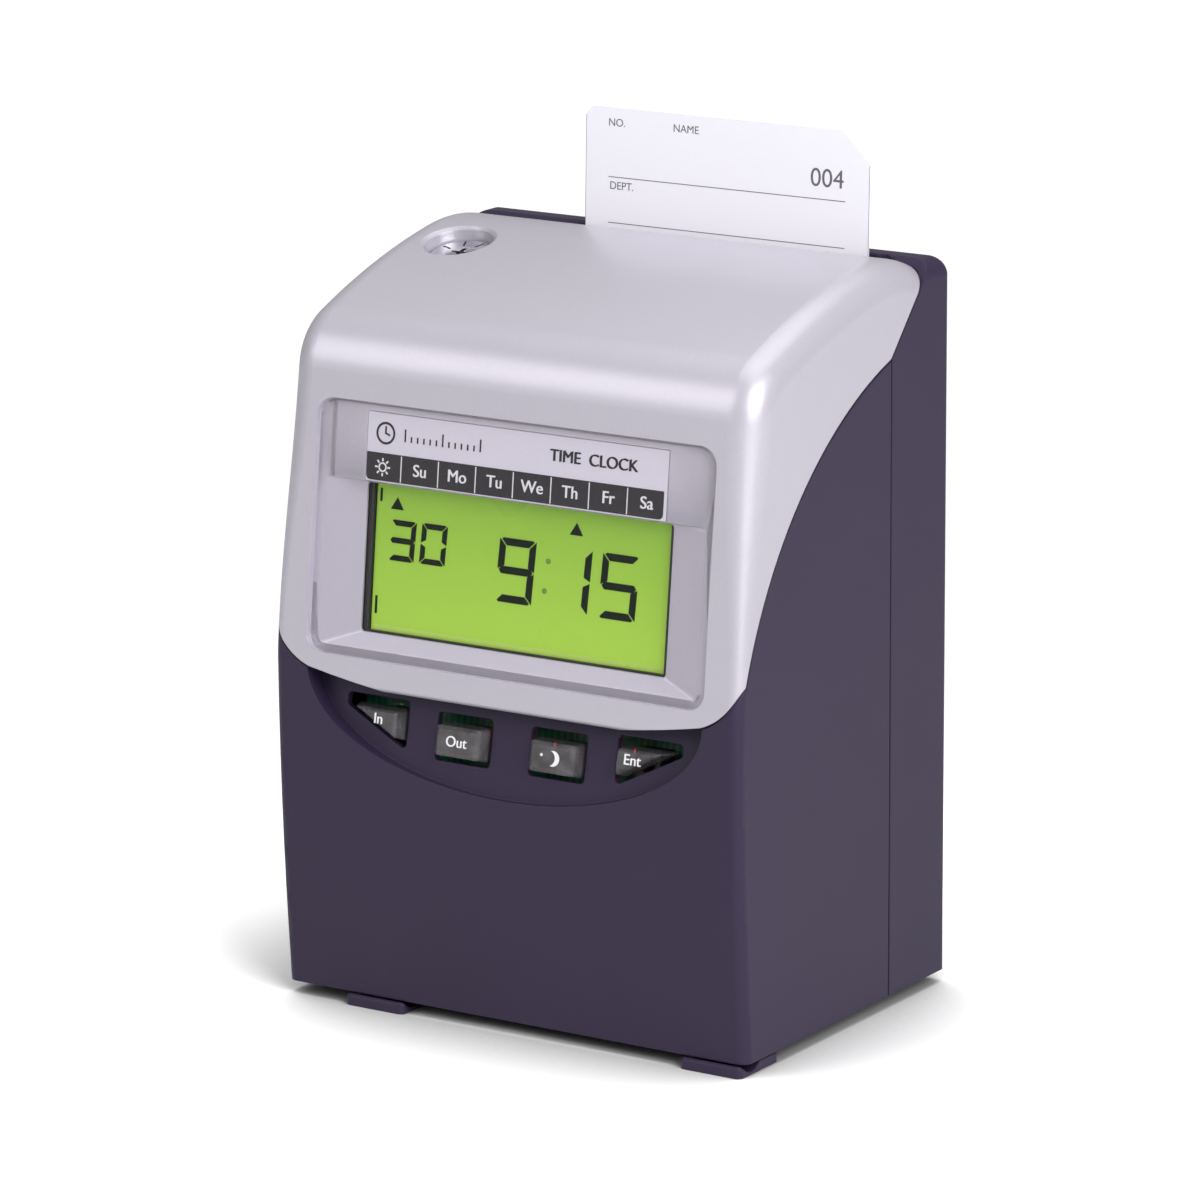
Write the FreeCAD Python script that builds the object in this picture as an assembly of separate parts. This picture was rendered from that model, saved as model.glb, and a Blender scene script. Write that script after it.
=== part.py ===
"""Punch time clock: a card recorder with a keyed front cover, a display, four keys and a card feed.

Frame: X to the right seen from the front, the front faces -Y, Z up. The origin is on the floor,
under the centre of the outer box. All sizes are in millimetres.
"""
import FreeCAD
import Part
import math
import os

V = FreeCAD.Vector
AXIS_X = V(1, 0, 0)
AXIS_Y = V(0, 1, 0)
AXIS_Z = V(0, 0, 1)

# ---------------------------------------------------------------- driving dimensions
# whole body
body_w = 140.0            # across the side walls
body_d = 103.0            # from the chin of the front to the back wall
body_h = 194.7            # crown of the silver cover above the floor
foot_h = 2.8              # height of the feet under the shell
foot_proud = 1.2          # the front feet stand this far in front of the panel
wall = 2.4                # thickness of the plastic shells
part_gap = 0.3            # clearance between pieces that come apart
seat_gap = 0.05           # clearance between pieces that sit in each other
seam = 0.6                # dark line between two shells
far = 200.0               # longer than the body, for cutting tools

# outline of the front cover, from the crown forwards and down: (radius, turn in degrees)
cover_arcs = [(50.0, 10.0), (221.0, 12.84), (18.0, 59.46), (1519.0, 2.69), (60.0, 5.01)]
top_edge_r = 8.0          # rounding along the silver cover's side edges
low_edge_r = 3.0          # rounding along the dark cover's side edges
sole_back = 3.7           # the front wall's foot lies this far behind the chin
rear_case_d = 29.5        # depth of the rear case, at its seam
brow_in = 11.2            # rear edge of the silver cover, in front of the back wall
brow_drop = 3.5           # and under the crown
slant_drop = 24.1         # foot of the slanted rear edge, under the crown
ridge_drop = 2.0          # top of the rear case, under the crown
ridge_r = 5.0             # rounding along the rear case's top
back_edge_r = 2.5         # rounding of the upright rear corners

# border between the silver and the dark cover, under the crown
lip_mid_drop = 110.8
lip_end_drop = 105.0
lip_side_drop = 91.4
lip_half = 59.0           # half width of the shallow middle arc
lip_bend = (3.4, 8.5)     # the corner arc's middle, in from the side and under its upper end
side_bow_y = 29.0         # the border's middle on the side, behind the chin
side_bow_drop = 51.9
overlap_band = 3.0        # tongue of the dark cover behind the silver one
overlap_t = 1.2

# display window, in a plane that leans back with the face
window_drop = 68.4        # its centre under the crown
window_in = 3.3           # the surface there, behind the chin
window_lean = 6.36
window_w = 119.2
window_h = 65.4
window_r = 5.0
window_t = 2.0
window_rim = 0.5
window_rim_w = 1.3
frame_t = 5.2             # depth of the silver frame behind the window
bevel_half = 57.0
bevel_low = -30.4
bevel_top = 12.6
lcd_open_half = 46.0
lcd_open_low = -26.3
lcd_open_top = 12.0
label_half = 45.0
label_top = 30.4
label_t = 0.3
bezel_t = 3.4
glass_t = 1.1
board_t = 1.6
display_board_half = 56.0

# key recess and keys, in a plane that leans back
recess_half = 59.5
recess_drop = 27.5        # how far the recess reaches under its top line
recess_top_drop = 104.9
recess_floor_drop = 119.4
recess_floor_in = 4.4
recess_lean = 10.9
recess_floor_t = 2.0
key_proud = 3.6           # key face in front of the recess floor
key_back = 2.4            # rear of the key's cap, behind that face of the floor
key_draft = 0.6
key_clear = 1.1           # opening round a key
key_clear_top = 1.3       # and more above it, for the cover's swing
inner_key_x = 14.2
inner_key_w = 13.4
inner_key_low = -4.4
inner_key_top = 3.4
outer_key_x0 = 33.2
outer_key_x1 = 47.4
outer_key_low = -2.4
outer_key_top = 4.8
key_stem_r = 2.35
key_stem_end = 8.4
key_travel = 0.8
switch_w = 7.6
keypad_board_y = 10.6
keypad_board_half = 52.0
keypad_board_h = 24.0

# time card and its throat, in a plane that leans back
card_w = 85.8
card_l = 186.0
card_t = 0.36
card_x0 = -33.0
card_park_z = 37.8        # lower edge of the parked card above the floor
card_down = 24.0          # travel down from there
card_lean = 1.9
card_in = 12.1            # card plane in front of the back wall, at slot height
slot_drop = 3.9           # slot height under the crown
slot_side = 3.2           # slot beyond the card's left edge
slot_side_r = 6.2         # slot beyond its right edge
slot_front = 2.8          # slot edge in front of the card
slot_back = 2.6
card_corner = 8.0
card_corner_small = 2.0
guide_t = 1.4
guide_gap = 1.0           # from the card's middle to each guide plate
guide_end = 6.0           # guides end above the chassis floor

# printer, measured from the slot down along the card
print_z = -35.0
carriage_x = 10.0
carriage_w = 22.0
rod_r = 2.5
rod_z = -50.0
rod_front_y = -20.0
rod_rear_y = -9.0
belt_y = -33.0
belt_z = -54.0
belt_w = 4.0
belt_t = 1.0
pulley_r = 5.0
pulley_left_x = -29.0
pulley_right_x = 51.0
motor_r = 12.0
motor_l = 18.0
feed_z = -95.0
feed_r = 6.0
feed_shaft_r = 2.5
feed_roller_w = 10.0
roller_x = (-10.0, 30.0)
pinch_r = 4.0
pinch_shaft_r = 1.5
gear_module = 0.6
gear_teeth = 40
pinion_teeth = 12
gear_w = 4.0
frame_left_x = -44.0
frame_right_x = 60.0
frame_t_sheet = 1.5
frame_front_y = -38.0
frame_tab_w = 6.0
ribbon_knob_r = 7.0
ribbon_knob_y = -30.0
ribbon_knob_in = 18.0     # knob axis, in from the right side plate
ribbon_stem_r = 2.0

# chassis, hinge and lock
floor_t = 2.5
hinge_y = 7.9             # hinge line behind the chin
hinge_z = 6.2
hinge_pin_r = 1.0
hinge_eye_r = 2.0
ear_x = 56.0
ear_w = 4.0
lock_x = -50.0
lock_in = 56.9            # lock centre behind the chin
lock_lean = -12.5         # the lock leans forward with the top
lock_drop = 2.65          # surface there under the crown
lock_cup_r = 9.2
lock_cup_deep = 5.2
lock_barrel_r = 6.0
lock_plug_r = 3.9
lock_cam_l = 13.5
lock_cam_w = 8.0
screw_r = 1.5
wall_screw_r = 2.25
wall_screw_half = 45.0
wall_screw_z = 140.0
screw_head_r = 2.8
screw_head_t = 1.3
lock_shell_t = 1.8        # plastic under the lock's head
lock_body_l = 12.0
lock_nut_w = 15.0
lock_nut_t = 3.4
lock_cam_t = 1.8
lock_square = 5.0         # square end of the plug that turns the cam

# electronics, power inlet and vents
bracket_t = 1.2
bracket_half = 58.0
post_r = 2.5
pillar_h = 6.0
board_x0 = -18.0
board_x1 = 54.0
board_y0 = -16.0
board_y1 = 20.0
board_hole_in = 4.0
battery_r = 7.2
battery_l = 38.0
buzzer_at = (-56.0, 24.0)
buzzer_r = 7.5
jack_side = 16.0          # inlet axis, in from the left side
jack_z = 18.0
jack_r = 4.0
jack_bore_r = 2.9
vent_z = 60.0
vent_l = 22.0
vent_w = 1.6
vent_pitch = 4.5
vent_count = 9

# ---------------------------------------------------------------- derived places
half_w = body_w / 2
front_y = -body_d / 2
back_y = body_d / 2
shell_z0 = foot_h + seam
cover_rear_y = back_y - rear_case_d - part_gap
case_front_y = back_y - rear_case_d + part_gap
floor_z0 = foot_h + 0.2
floor_z1 = floor_z0 + floor_t
inner_x = half_w - wall
inner_back_y = back_y - wall
catch_x = -inner_x + overlap_t + 0.5
slot_z = body_h - slot_drop
slot_x0 = card_x0 - slot_side
slot_x1 = card_x0 + card_w + slot_side_r
window_at = (0, front_y + window_in, body_h - window_drop)
keys_at = (0, front_y + recess_floor_in, body_h - recess_floor_drop)
throat_at = (0, back_y - card_in, slot_z)
lock_at = (lock_x, front_y + lock_in, body_h - lock_drop)
hinge_at = (front_y + hinge_y, hinge_z)
bracket_y = front_y + 23.5
bracket_screw_x = (-34, 0, 34)
card_low = (card_park_z - slot_z) / math.cos(math.radians(card_lean))
feed_y = -(card_t / 2 + part_gap + feed_r)
pinch_y = card_t / 2 + part_gap + pinch_r
pinion_y = feed_y - gear_module * (gear_teeth + pinion_teeth) / 2
frame_right_out = frame_right_x + frame_t_sheet
frame_left_in = frame_left_x + frame_t_sheet
floor_local = -(slot_z - floor_z1) + 2.0
jack_at = (-half_w + jack_side, jack_z)
board_z = floor_z1 + pillar_h
ribbon_knob_x = frame_right_x - ribbon_knob_in


# ---------------------------------------------------------------- small helpers
def box(x0, x1, y0, y1, z0, z1):
    return Part.makeBox(x1 - x0, y1 - y0, z1 - z0, V(x0, y0, z0))


def rod(start, axis, radius, length):
    return Part.makeCylinder(radius, length, V(*start), axis)


def tube(start, axis, outer, inner, length):
    return rod(start, axis, outer, length).cut(rod(start, axis, inner, length))


def joined(shapes):
    first = shapes[0]
    return first.fuse(shapes[1:]).removeSplitter() if len(shapes) > 1 else first


def group(shapes):
    return Part.makeCompound(shapes)


def leaned(shape, place, degrees):
    """Lean a shape back about X, then move its local origin to place."""
    turned = shape.copy()
    turned.rotate(V(0, 0, 0), AXIS_X, -degrees)
    turned.translate(V(*place))
    return turned


def on_window(shape):
    return leaned(shape, window_at, window_lean)


def on_keys(shape):
    return leaned(shape, keys_at, recess_lean)


def on_throat(shape):
    return leaned(shape, throat_at, card_lean)


def on_lock(shape):
    return leaned(shape, lock_at, lock_lean)


def side_point(p):
    return V(0, p[0], p[1])


def side_prism(edges, x0, x1):
    """Extrude an outline in the YZ plane from x0 to x1."""
    face = Part.Face(Part.Wire(Part.__sortEdges__(edges)))
    solid = face.extrude(V(x1 - x0, 0, 0))
    solid.translate(V(x0, 0, 0))
    return solid


def side_polygon(points, x0, x1):
    loop = [side_point(p) for p in points + [points[0]]]
    return side_prism(Part.makePolygon(loop).Edges, x0, x1)


def rounded_loop(points, radius, y):
    """Closed wire in the XZ plane at y, with every corner rounded to the radius."""
    edges = []
    ends = []
    count = len(points)
    for i in range(count):
        before = V(points[i - 1][0], y, points[i - 1][1])
        here = V(points[i][0], y, points[i][1])
        after = V(points[(i + 1) % count][0], y, points[(i + 1) % count][1])
        back = (before - here).normalize()
        ahead = (after - here).normalize()
        half = back.getAngle(ahead) / 2
        reach = radius / math.tan(half)
        middle = (back + ahead).normalize()
        centre = here + middle * (radius / math.sin(half))
        ends.append((here + back * reach, centre - middle * radius, here + ahead * reach))
    for i in range(count):
        start, mid, end = ends[i]
        edges.append(Part.Arc(start, mid, end).toShape())
        edges.append(Part.makeLine(end, ends[(i + 1) % count][0]))
    return Part.Wire(edges)


def rectangle(half_x, z0, z1, grow=0.0):
    x = half_x + grow
    return [(-x, z0 - grow), (x, z0 - grow), (x, z1 + grow), (-x, z1 + grow)]


def plate_from(points, radius, y0, y1):
    """Plate with a rounded outline in XZ, from y0 to y1."""
    return Part.Face(rounded_loop(points, radius, y0)).extrude(V(0, y1 - y0, 0))


# ---------------------------------------------------------------- outer shells
def arc_chain(start, heading, steps):
    """Arcs that run on from each other, in the YZ plane, and the point where they end."""
    edges = []
    here = start
    angle = math.radians(heading)
    for radius, turn in steps:
        turn = math.radians(turn)
        centre = (here[0] - radius * math.sin(angle), here[1] + radius * math.cos(angle))
        stops = []
        for share in (0.5, 1.0):
            now = angle + turn * share
            stops.append((centre[0] + radius * math.sin(now), centre[1] - radius * math.cos(now)))
        edges.append(Part.Arc(side_point(here), side_point(stops[0]), side_point(stops[1])).toShape())
        here = stops[1]
        angle += turn
    return edges, here


def level_arc(top, end):
    """Arc that leaves top level and comes down to end."""
    along = end[0] - top[0]
    drop = top[1] - end[1]
    radius = (along * along + drop * drop) / (2 * drop)
    half = math.asin(along / radius) / 2
    mid = (top[0] + radius * math.sin(half), top[1] - radius + radius * math.cos(half))
    return Part.Arc(side_point(top), side_point(mid), side_point(end)).toShape()


def upright_arc(top, end):
    """Arc that leaves top straight down and bends back to end."""
    drop = top[1] - end[1]
    along = end[0] - top[0]
    radius = (along * along + drop * drop) / (2 * along)
    half = math.asin(drop / radius) / 2
    mid = (top[0] + radius - radius * math.cos(half), top[1] - radius * math.sin(half))
    return Part.Arc(side_point(top), side_point(mid), side_point(end)).toShape()


def cover_outline():
    edges, last = arc_chain((0, 0), 180, cover_arcs)
    crown = (front_y - last[0], body_h)
    chin = (front_y, body_h + last[1])
    for edge in edges:
        edge.translate(V(0, crown[0], crown[1]))
    brow = (back_y - brow_in, body_h - brow_drop)
    slant = (cover_rear_y, body_h - slant_drop)
    heel = (cover_rear_y, shell_z0)
    toe = (front_y + sole_back, shell_z0)
    edges.append(level_arc(crown, brow))
    edges.append(upright_arc(chin, toe))
    for a, b in ((toe, heel), (heel, slant), (slant, brow)):
        edges.append(Part.makeLine(side_point(a), side_point(b)))
    return edges, chin[1]


def cover_block(document, inset):
    """The front cover as a full block, its outline and edges set in by inset."""
    edges, chin_z = cover_outline()
    face = Part.Face(Part.Wire(Part.__sortEdges__(edges)))
    if inset:
        face = face.makeOffset2D(-inset)
    half = half_w - inset
    block = face.extrude(V(2 * half, 0, 0))
    block.translate(V(-half, 0, 0))
    low_r = max(low_edge_r - inset, 0.6)
    top_r = max(top_edge_r - inset, 0.6)
    rounded = []
    for number, edge in enumerate(block.Edges, 1):
        ends = edge.Vertexes
        if len(ends) < 2 or edge.Curve.TypeId != "Part::GeomCircle":
            continue
        if abs(ends[0].X - ends[1].X) > 0.001 or edge.Curve.Radius < 2 * wall:
            continue
        mid_z = edge.valueAt((edge.FirstParameter + edge.LastParameter) / 2).z
        if mid_z < chin_z + 5:
            rounded.append((number, low_r, low_r))
        elif edge.Curve.Radius > 1000:
            rounded.append((number, top_r, low_r) if ends[0].Z > ends[1].Z else (number, low_r, top_r))
        else:
            rounded.append((number, top_r, top_r))
    base = document.addObject("Part::Feature", "block")
    base.Shape = block
    fillet = document.addObject("Part::Fillet", "rounded")
    fillet.Base = base
    fillet.Edges = rounded
    document.recompute()
    return fillet.Shape.Solids[0]


def opened(void):
    """A void stretched out through the cover's open back and bottom."""
    back = void.copy()
    back.translate(V(0, wall * 1.3, -wall * 1.3))
    top = body_h - slant_drop - wall
    bottom = box(-inner_x, inner_x, front_y + sole_back + wall, cover_rear_y + 5, 0, shell_z0 + 2 * wall)
    rear = box(-inner_x, inner_x, cover_rear_y - 2 * wall, cover_rear_y + 5, 0, top)
    return void.fuse([back, bottom, rear])


def silver_tool():
    """Everything on the silver cover's side of the border."""
    z_mid = body_h - lip_mid_drop
    z_end = body_h - lip_end_drop
    z_side = body_h - lip_side_drop
    reach = half_w + 10

    def at(x, z):
        return V(x, -far, z)
    bend = (half_w - lip_bend[0], z_side - lip_bend[1])
    corner_l = Part.Arc(at(-half_w - 1, z_side + 3), at(-bend[0], bend[1]), at(-lip_half, z_end))
    middle = Part.Arc(at(-lip_half, z_end), at(0, z_mid), at(lip_half, z_end))
    corner_r = Part.Arc(at(lip_half, z_end), at(bend[0], bend[1]), at(half_w + 1, z_side + 3))
    outline = [(half_w + 1, z_side + 3), (reach, z_side + 15), (reach, far + body_h),
               (-reach, far + body_h), (-reach, z_side + 15), (-half_w - 1, z_side + 3)]
    edges = [corner_l.toShape(), middle.toShape(), corner_r.toShape()]
    edges += Part.makePolygon([at(*p) for p in outline]).Edges
    front = Part.Face(Part.Wire(Part.__sortEdges__(edges))).extrude(V(0, 2 * far, 0))
    start = (front_y - 0.5, z_mid - 1)
    bow = (front_y + side_bow_y, body_h - side_bow_drop)
    end = (cover_rear_y, body_h - slant_drop)
    edges = [Part.Arc(side_point(start), side_point(bow), side_point(end)).toShape()]
    outline = [end, (far, end[1]), (far, far + body_h), (-far, far + body_h), (-far, start[1]), start]
    edges += Part.makePolygon([side_point(p) for p in outline]).Edges
    return front.common(side_prism(edges, -far, far))


def moved_tool(tool, down):
    """The border tool moved square to the border, towards the dark cover."""
    copy = tool.copy()
    copy.translate(V(0, down * 0.55, -down * 0.84))
    return copy


def window_frame():
    """Bevelled frame that carries the window, in the window's plane."""
    outline = rectangle(window_w / 2 + 2.4, -window_h / 2 - 2, window_h / 2 + 2)
    return plate_from(outline, window_r, 0.9, frame_t)


def window_cuts():
    """Pocket of the window, pocket of the label and the bevelled opening of the display."""
    grow = 0.15
    outline = rectangle(window_w / 2, -window_h / 2, window_h / 2, grow)
    floor = window_t - 0.1
    pocket = plate_from(outline, window_r, -5, floor)
    label = box(-label_half - grow, label_half + grow, floor, floor + label_t + 0.1,
                bevel_top, label_top + grow)
    wide = rounded_loop(rectangle(bevel_half, bevel_low, bevel_top), 1.5, floor)
    narrow = rounded_loop(rectangle(lcd_open_half, lcd_open_low, lcd_open_top), 1.0, frame_t - 0.8)
    bevel = Part.makeLoft([wide, narrow], True)
    throat = plate_from(rectangle(lcd_open_half, lcd_open_low, lcd_open_top), 1.0, frame_t - 0.8, frame_t + 1)
    return [pocket, label, bevel, throat]


def slot_notch(z0, z1):
    """Tool for the card slot, with rounded front corners."""
    y0 = throat_at[1] - slot_front
    y1 = throat_at[1] + slot_back
    radius = 3.0
    notch = box(slot_x0 + radius, slot_x1 - radius, y0, y1, z0, z1)
    notch = notch.fuse([box(slot_x0, slot_x1, y0 + radius, y1, z0, z1),
                        rod((slot_x0 + radius, y0 + radius, z0), AXIS_Z, radius, z1 - z0),
                        rod((slot_x1 - radius, y0 + radius, z0), AXIS_Z, radius, z1 - z0)])
    return notch


def top_cover(outer, void, tool):
    """Silver cover: top, face and window frame, with the lock's cup."""
    shell = outer.cut(opened(void)).common(tool)
    frame = on_window(window_frame()).common(outer)
    cup = on_lock(rod((0, 0, -lock_cup_deep - lock_shell_t), AXIS_Z, lock_cup_r + 1.4, lock_cup_deep + 0.6))
    shell = joined([shell, frame, cup])
    cuts = [on_window(cut) for cut in window_cuts()]
    cuts.append(on_lock(rod((0, 0, -lock_cup_deep), AXIS_Z, lock_cup_r, far)))
    cuts.append(on_lock(rod((0, 0, -far / 4), AXIS_Z, lock_barrel_r + seat_gap, far / 2)))
    chamfer = Part.makeCone(lock_cup_r, lock_cup_r + 1.2, 1.2, V(0, 0, -0.9), AXIS_Z)
    cuts.append(on_lock(chamfer))
    cuts.append(slot_notch(slot_z - 20, slot_z + 20))
    return shell.cut(cuts)


def half_oval(grow, y0, y1):
    """Recess outline: the lower half of an oval, closed by a straight top, from y0 to y1."""
    top_z = body_h - recess_top_drop
    oval = Part.Ellipse(V(0, 0, 0), recess_half + grow, recess_drop + grow).toShape()
    solid = Part.Face(Part.Wire([oval])).extrude(V(0, 0, y1 - y0))
    solid.rotate(V(0, 0, 0), AXIS_X, 90)
    solid.translate(V(0, y1, top_z))
    below = box(-far, far, -far, far, top_z - far, top_z + 0.01)
    return solid.common(below)


def inner_key_points(side):
    x0 = side * inner_key_x - inner_key_w / 2
    x1 = x0 + inner_key_w
    return [(x0, inner_key_low), (x1, inner_key_low), (x1, inner_key_top), (x0, inner_key_top)]


def outer_key_points(side):
    points = [(side * outer_key_x0, outer_key_low), (side * outer_key_x1, outer_key_top),
              (side * outer_key_x0, outer_key_top)]
    return points if side > 0 else points[::-1]


def grown(points, amount):
    """Outline pushed outwards by amount, its corners in the same order."""
    pushed = []
    for i in range(len(points)):
        here = V(points[i][0], points[i][1], 0)
        before = here - V(points[i - 1][0], points[i - 1][1], 0)
        following = points[(i + 1) % len(points)]
        after = V(following[0], following[1], 0) - here
        out_a = V(before.y, -before.x, 0).normalize()
        out_b = V(after.y, -after.x, 0).normalize()
        corner = here + (out_a + out_b) * (amount / (1 + out_a.dot(out_b)))
        pushed.append((corner.x, corner.y))
    return pushed


def key_points(name):
    shapes = {"in": outer_key_points(-1), "out": inner_key_points(-1),
              "night": inner_key_points(1), "enter": outer_key_points(1)}
    return shapes[name]


def key_opening(name):
    """Opening in the recess floor, larger above the key so that the cover can swing off."""
    hole = plate_from(grown(key_points(name), key_draft + key_clear), 1.2, -8, 8)
    higher = hole.copy()
    higher.translate(V(0, 0, key_clear_top))
    return hole.fuse(higher)


def front_cover(document, outer, void, tool):
    """Dark cover: front and sides, with the key recess, the tongue behind the border and the hinge."""
    gap_tool = moved_tool(tool, seam)
    shell = outer.cut(opened(void)).cut(gap_tool)
    inner_skin = cover_block(document, wall + overlap_t)
    band = moved_tool(tool, overlap_band).cut(moved_tool(tool, -overlap_band))
    tongue = void.cut(opened(inner_skin)).common(band)
    silver_room = gap_tool.common(outer.cut(cover_block(document, wall + 0.2)))
    behind = on_keys(box(-far, far, -far, recess_floor_t, -far, far))
    pan = half_oval(2.0, front_y - 5, front_y + 20).common(behind).common(outer)
    tongue = tongue.cut(silver_room)
    pan = pan.cut(silver_room)
    shell = joined([shell] + tongue.Solids + [pan] + hinge_lugs())
    gap = part_gap
    room = box(-window_w / 2 - 2.4 - gap, window_w / 2 + 2.4 + gap, 0.9 - gap, frame_t + 2 * gap,
               -window_h / 2 - 2 - gap, window_h)
    shell = shell.cut(on_window(room))
    in_front = on_keys(box(-far, far, -far, 0, -far, far))
    hollow = half_oval(0, front_y - 5, front_y + 20).common(in_front)
    shell = shell.cut(hollow)
    shell = shell.cut([on_keys(key_opening(name)) for name in ("in", "out", "night", "enter")])
    bore = rod((-inner_x + 0.3, *hinge_at), AXIS_X, hinge_pin_r + seat_gap, 2 * inner_x - 0.6)
    relief = [rod((side * ear_x - ear_w / 2 - part_gap, *hinge_at), AXIS_X, hinge_eye_r + part_gap,
                  ear_w + 2 * part_gap) for side in (-1, 1)]
    return shell.cut([bore] + relief)


def hinge_lugs():
    """Eyes inside the front wall that turn on the hinge pins."""
    lugs = []
    for side in (-1, 1):
        x0 = side * (ear_x + ear_w / 2 + part_gap + 2) - 2
        eye = rod((x0, *hinge_at), AXIS_X, hinge_eye_r, 4)
        web = box(x0, x0 + 4, hinge_at[0] - 3.0, hinge_at[0], hinge_z - 1.2, hinge_z + hinge_eye_r)
        lugs.append(eye.fuse(web))
    return lugs


def rear_case():
    """Rear shell: back, sides and the ridge behind the card slot."""
    ridge_z = body_h - ridge_drop
    slant = math.atan2(slant_drop - brow_drop, back_y - brow_in - cover_rear_y)
    shift = seam / math.sin(slant)
    foot = (case_front_y, body_h - slant_drop + (case_front_y - cover_rear_y - shift) * math.tan(slant))
    rise = ridge_z - foot[1]
    nose = (foot[0] + rise / math.tan(slant), ridge_z)
    outline = [(case_front_y, shell_z0), (back_y, shell_z0), (back_y, ridge_z), nose, foot]
    outer = side_polygon(outline, -half_w, half_w)
    uprights = [e for e in outer.Edges if is_at_depth(e, back_y) and is_upright(e)]
    outer = outer.makeFillet(back_edge_r, uprights)
    rim = [e for e in outer.Edges
           if is_at_height(e, ridge_z) and e.Vertexes[0].Y + e.Vertexes[-1].Y > 2 * nose[0] + 1]
    outer = outer.makeFillet(ridge_r, rim)
    hollow = side_polygon([(case_front_y - far, shell_z0 - far), (inner_back_y, shell_z0 - far),
                           (inner_back_y, ridge_z - wall), (case_front_y - far, ridge_z - wall)],
                          -inner_x, inner_x)
    corner = [e for e in hollow.Edges
              if is_at_height(e, ridge_z - wall) and max(v.Y for v in e.Vertexes) > 0
              and (is_at_depth(e, inner_back_y) or is_at_side(e))]
    hollow = hollow.makeFillet(ridge_r - wall, corner)
    case = outer.cut(hollow)
    pad_z = body_h - slant_drop - 4
    pad = box(-inner_x, catch_x, case_front_y + 9, case_front_y + 19, pad_z, pad_z + 10)
    bosses = [rod((x, inner_back_y - 1.1, z), AXIS_Y, 3.5, 1.1) for x, z in upper_screws()]
    case = joined([case, pad] + bosses)
    cuts = [slot_notch(slot_z - 20, slot_z + 20)]
    cuts += [rod((x, back_y - 10, z), AXIS_Y, screw_r + 0.2, 20) for x, z in upper_screws() + lower_screws()]
    cuts += [rod((x, back_y - 1.4, z), AXIS_Y, screw_head_r + 0.4, 20)
             for x, z in upper_screws() + lower_screws()]
    cuts += [rod((side * wall_screw_half, back_y - 10, wall_screw_z), AXIS_Y, wall_screw_r, 20)
             for side in (-1, 1)]
    cuts.append(rod((jack_at[0], back_y - 10, jack_at[1]), AXIS_Y, jack_r + 0.2, 20))
    cuts += [box(x - vent_w / 2, x + vent_w / 2, back_y - 5, back_y + 5, vent_z, vent_z + vent_l)
             for x in vent_places()]
    return case.cut(cuts)


def is_upright(edge):
    a, b = edge.Vertexes[0].Point, edge.Vertexes[-1].Point
    return abs(a.x - b.x) < 0.01 and abs(a.y - b.y) < 0.01 and abs(a.z - b.z) > 1


def is_at_height(edge, z):
    return all(abs(v.Z - z) < 0.01 for v in edge.Vertexes)


def is_at_depth(edge, y):
    return all(abs(v.Y - y) < 0.01 for v in edge.Vertexes)


def is_at_side(edge):
    return abs(edge.Vertexes[0].X - edge.Vertexes[-1].X) < 0.1


def vent_places():
    return [(i - (vent_count - 1) / 2) * vent_pitch for i in range(vent_count)]


def upper_screws():
    return [(frame_left_x + 8, slot_z - 24), (frame_right_x - 8, slot_z - 24)]


def lower_screws():
    return [(-half_w + 28, floor_z1 + 8), (half_w - 16, floor_z1 + 8)]


# ---------------------------------------------------------------- chassis, feet, hinge
def chassis():
    """Floor with the hinge ears, the rear flange and the catch for the case screws."""
    x1 = inner_x - 0.4
    front = hinge_at[0] + 4.9
    floor = box(-x1, x1, front, inner_back_y - 0.2, floor_z0, floor_z1)
    parts = [floor]
    for side in (-1, 1):
        x0 = side * ear_x - ear_w / 2
        eye = rod((x0, *hinge_at), AXIS_X, hinge_eye_r, ear_w)
        neck = box(x0, x0 + ear_w, hinge_at[0], front + 3, hinge_z - hinge_eye_r, hinge_z + hinge_eye_r)
        parts += [eye, neck]
    for x, z in lower_screws():
        parts.append(box(x - 6, x + 6, inner_back_y - 2.0, inner_back_y, floor_z0, z + 5))
    solid = joined(parts)
    cuts = [rod((-half_w, *hinge_at), AXIS_X, hinge_pin_r + seat_gap, body_w)]
    cuts += [rod((x, inner_back_y - 5, z), AXIS_Y, screw_r + seat_gap, 10) for x, z in lower_screws()]
    return solid.cut(cuts)


def hinge_pins():
    """Steel pins through the ears and the cover's eyes."""
    length = ear_w + 4 + part_gap + 0.6
    return group([rod((-ear_x - ear_w / 2 - part_gap - 4.3, *hinge_at), AXIS_X, hinge_pin_r, length),
                  rod((ear_x - ear_w / 2 - 0.3, *hinge_at), AXIS_X, hinge_pin_r, length)])


def front_feet():
    """Two bars that stand a little in front of the panel, hollowed for the cover's swing."""
    toe_r = math.hypot(hinge_y - sole_back, hinge_z - shell_z0)
    sweep = rod((-half_w, *hinge_at), AXIS_X, toe_r + part_gap, body_w)
    y0 = front_y + sole_back - foot_proud
    feet = []
    for x0 in (-half_w + 19, half_w - 19):
        slab = box(x0, x0 + 18, y0, hinge_at[0] + 12, 0, floor_z0)
        upright = [e for e in slab.Edges if is_at_depth(e, y0) and is_upright(e)]
        slab = slab.makeFillet(1.6, upright)
        slab = slab.makeChamfer(0.6, [e for e in slab.Edges if is_top_front(e, y0)])
        feet.append(slab.cut(sweep))
    return group(feet)


def is_top_front(edge, y0):
    ends = [v.Point for v in edge.Vertexes]
    return all(p.z > floor_z0 - 0.01 and p.y < y0 + 2.0 for p in ends)


def rear_feet():
    """Round rubber feet under the back of the chassis."""
    feet = []
    for side in (-1, 1):
        foot = Part.makeCone(7.0, 6.0, foot_h + 0.2, V(side * (half_w - 13), back_y - 12, 0), AXIS_Z)
        feet.append(foot)
    return group(feet)


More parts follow.
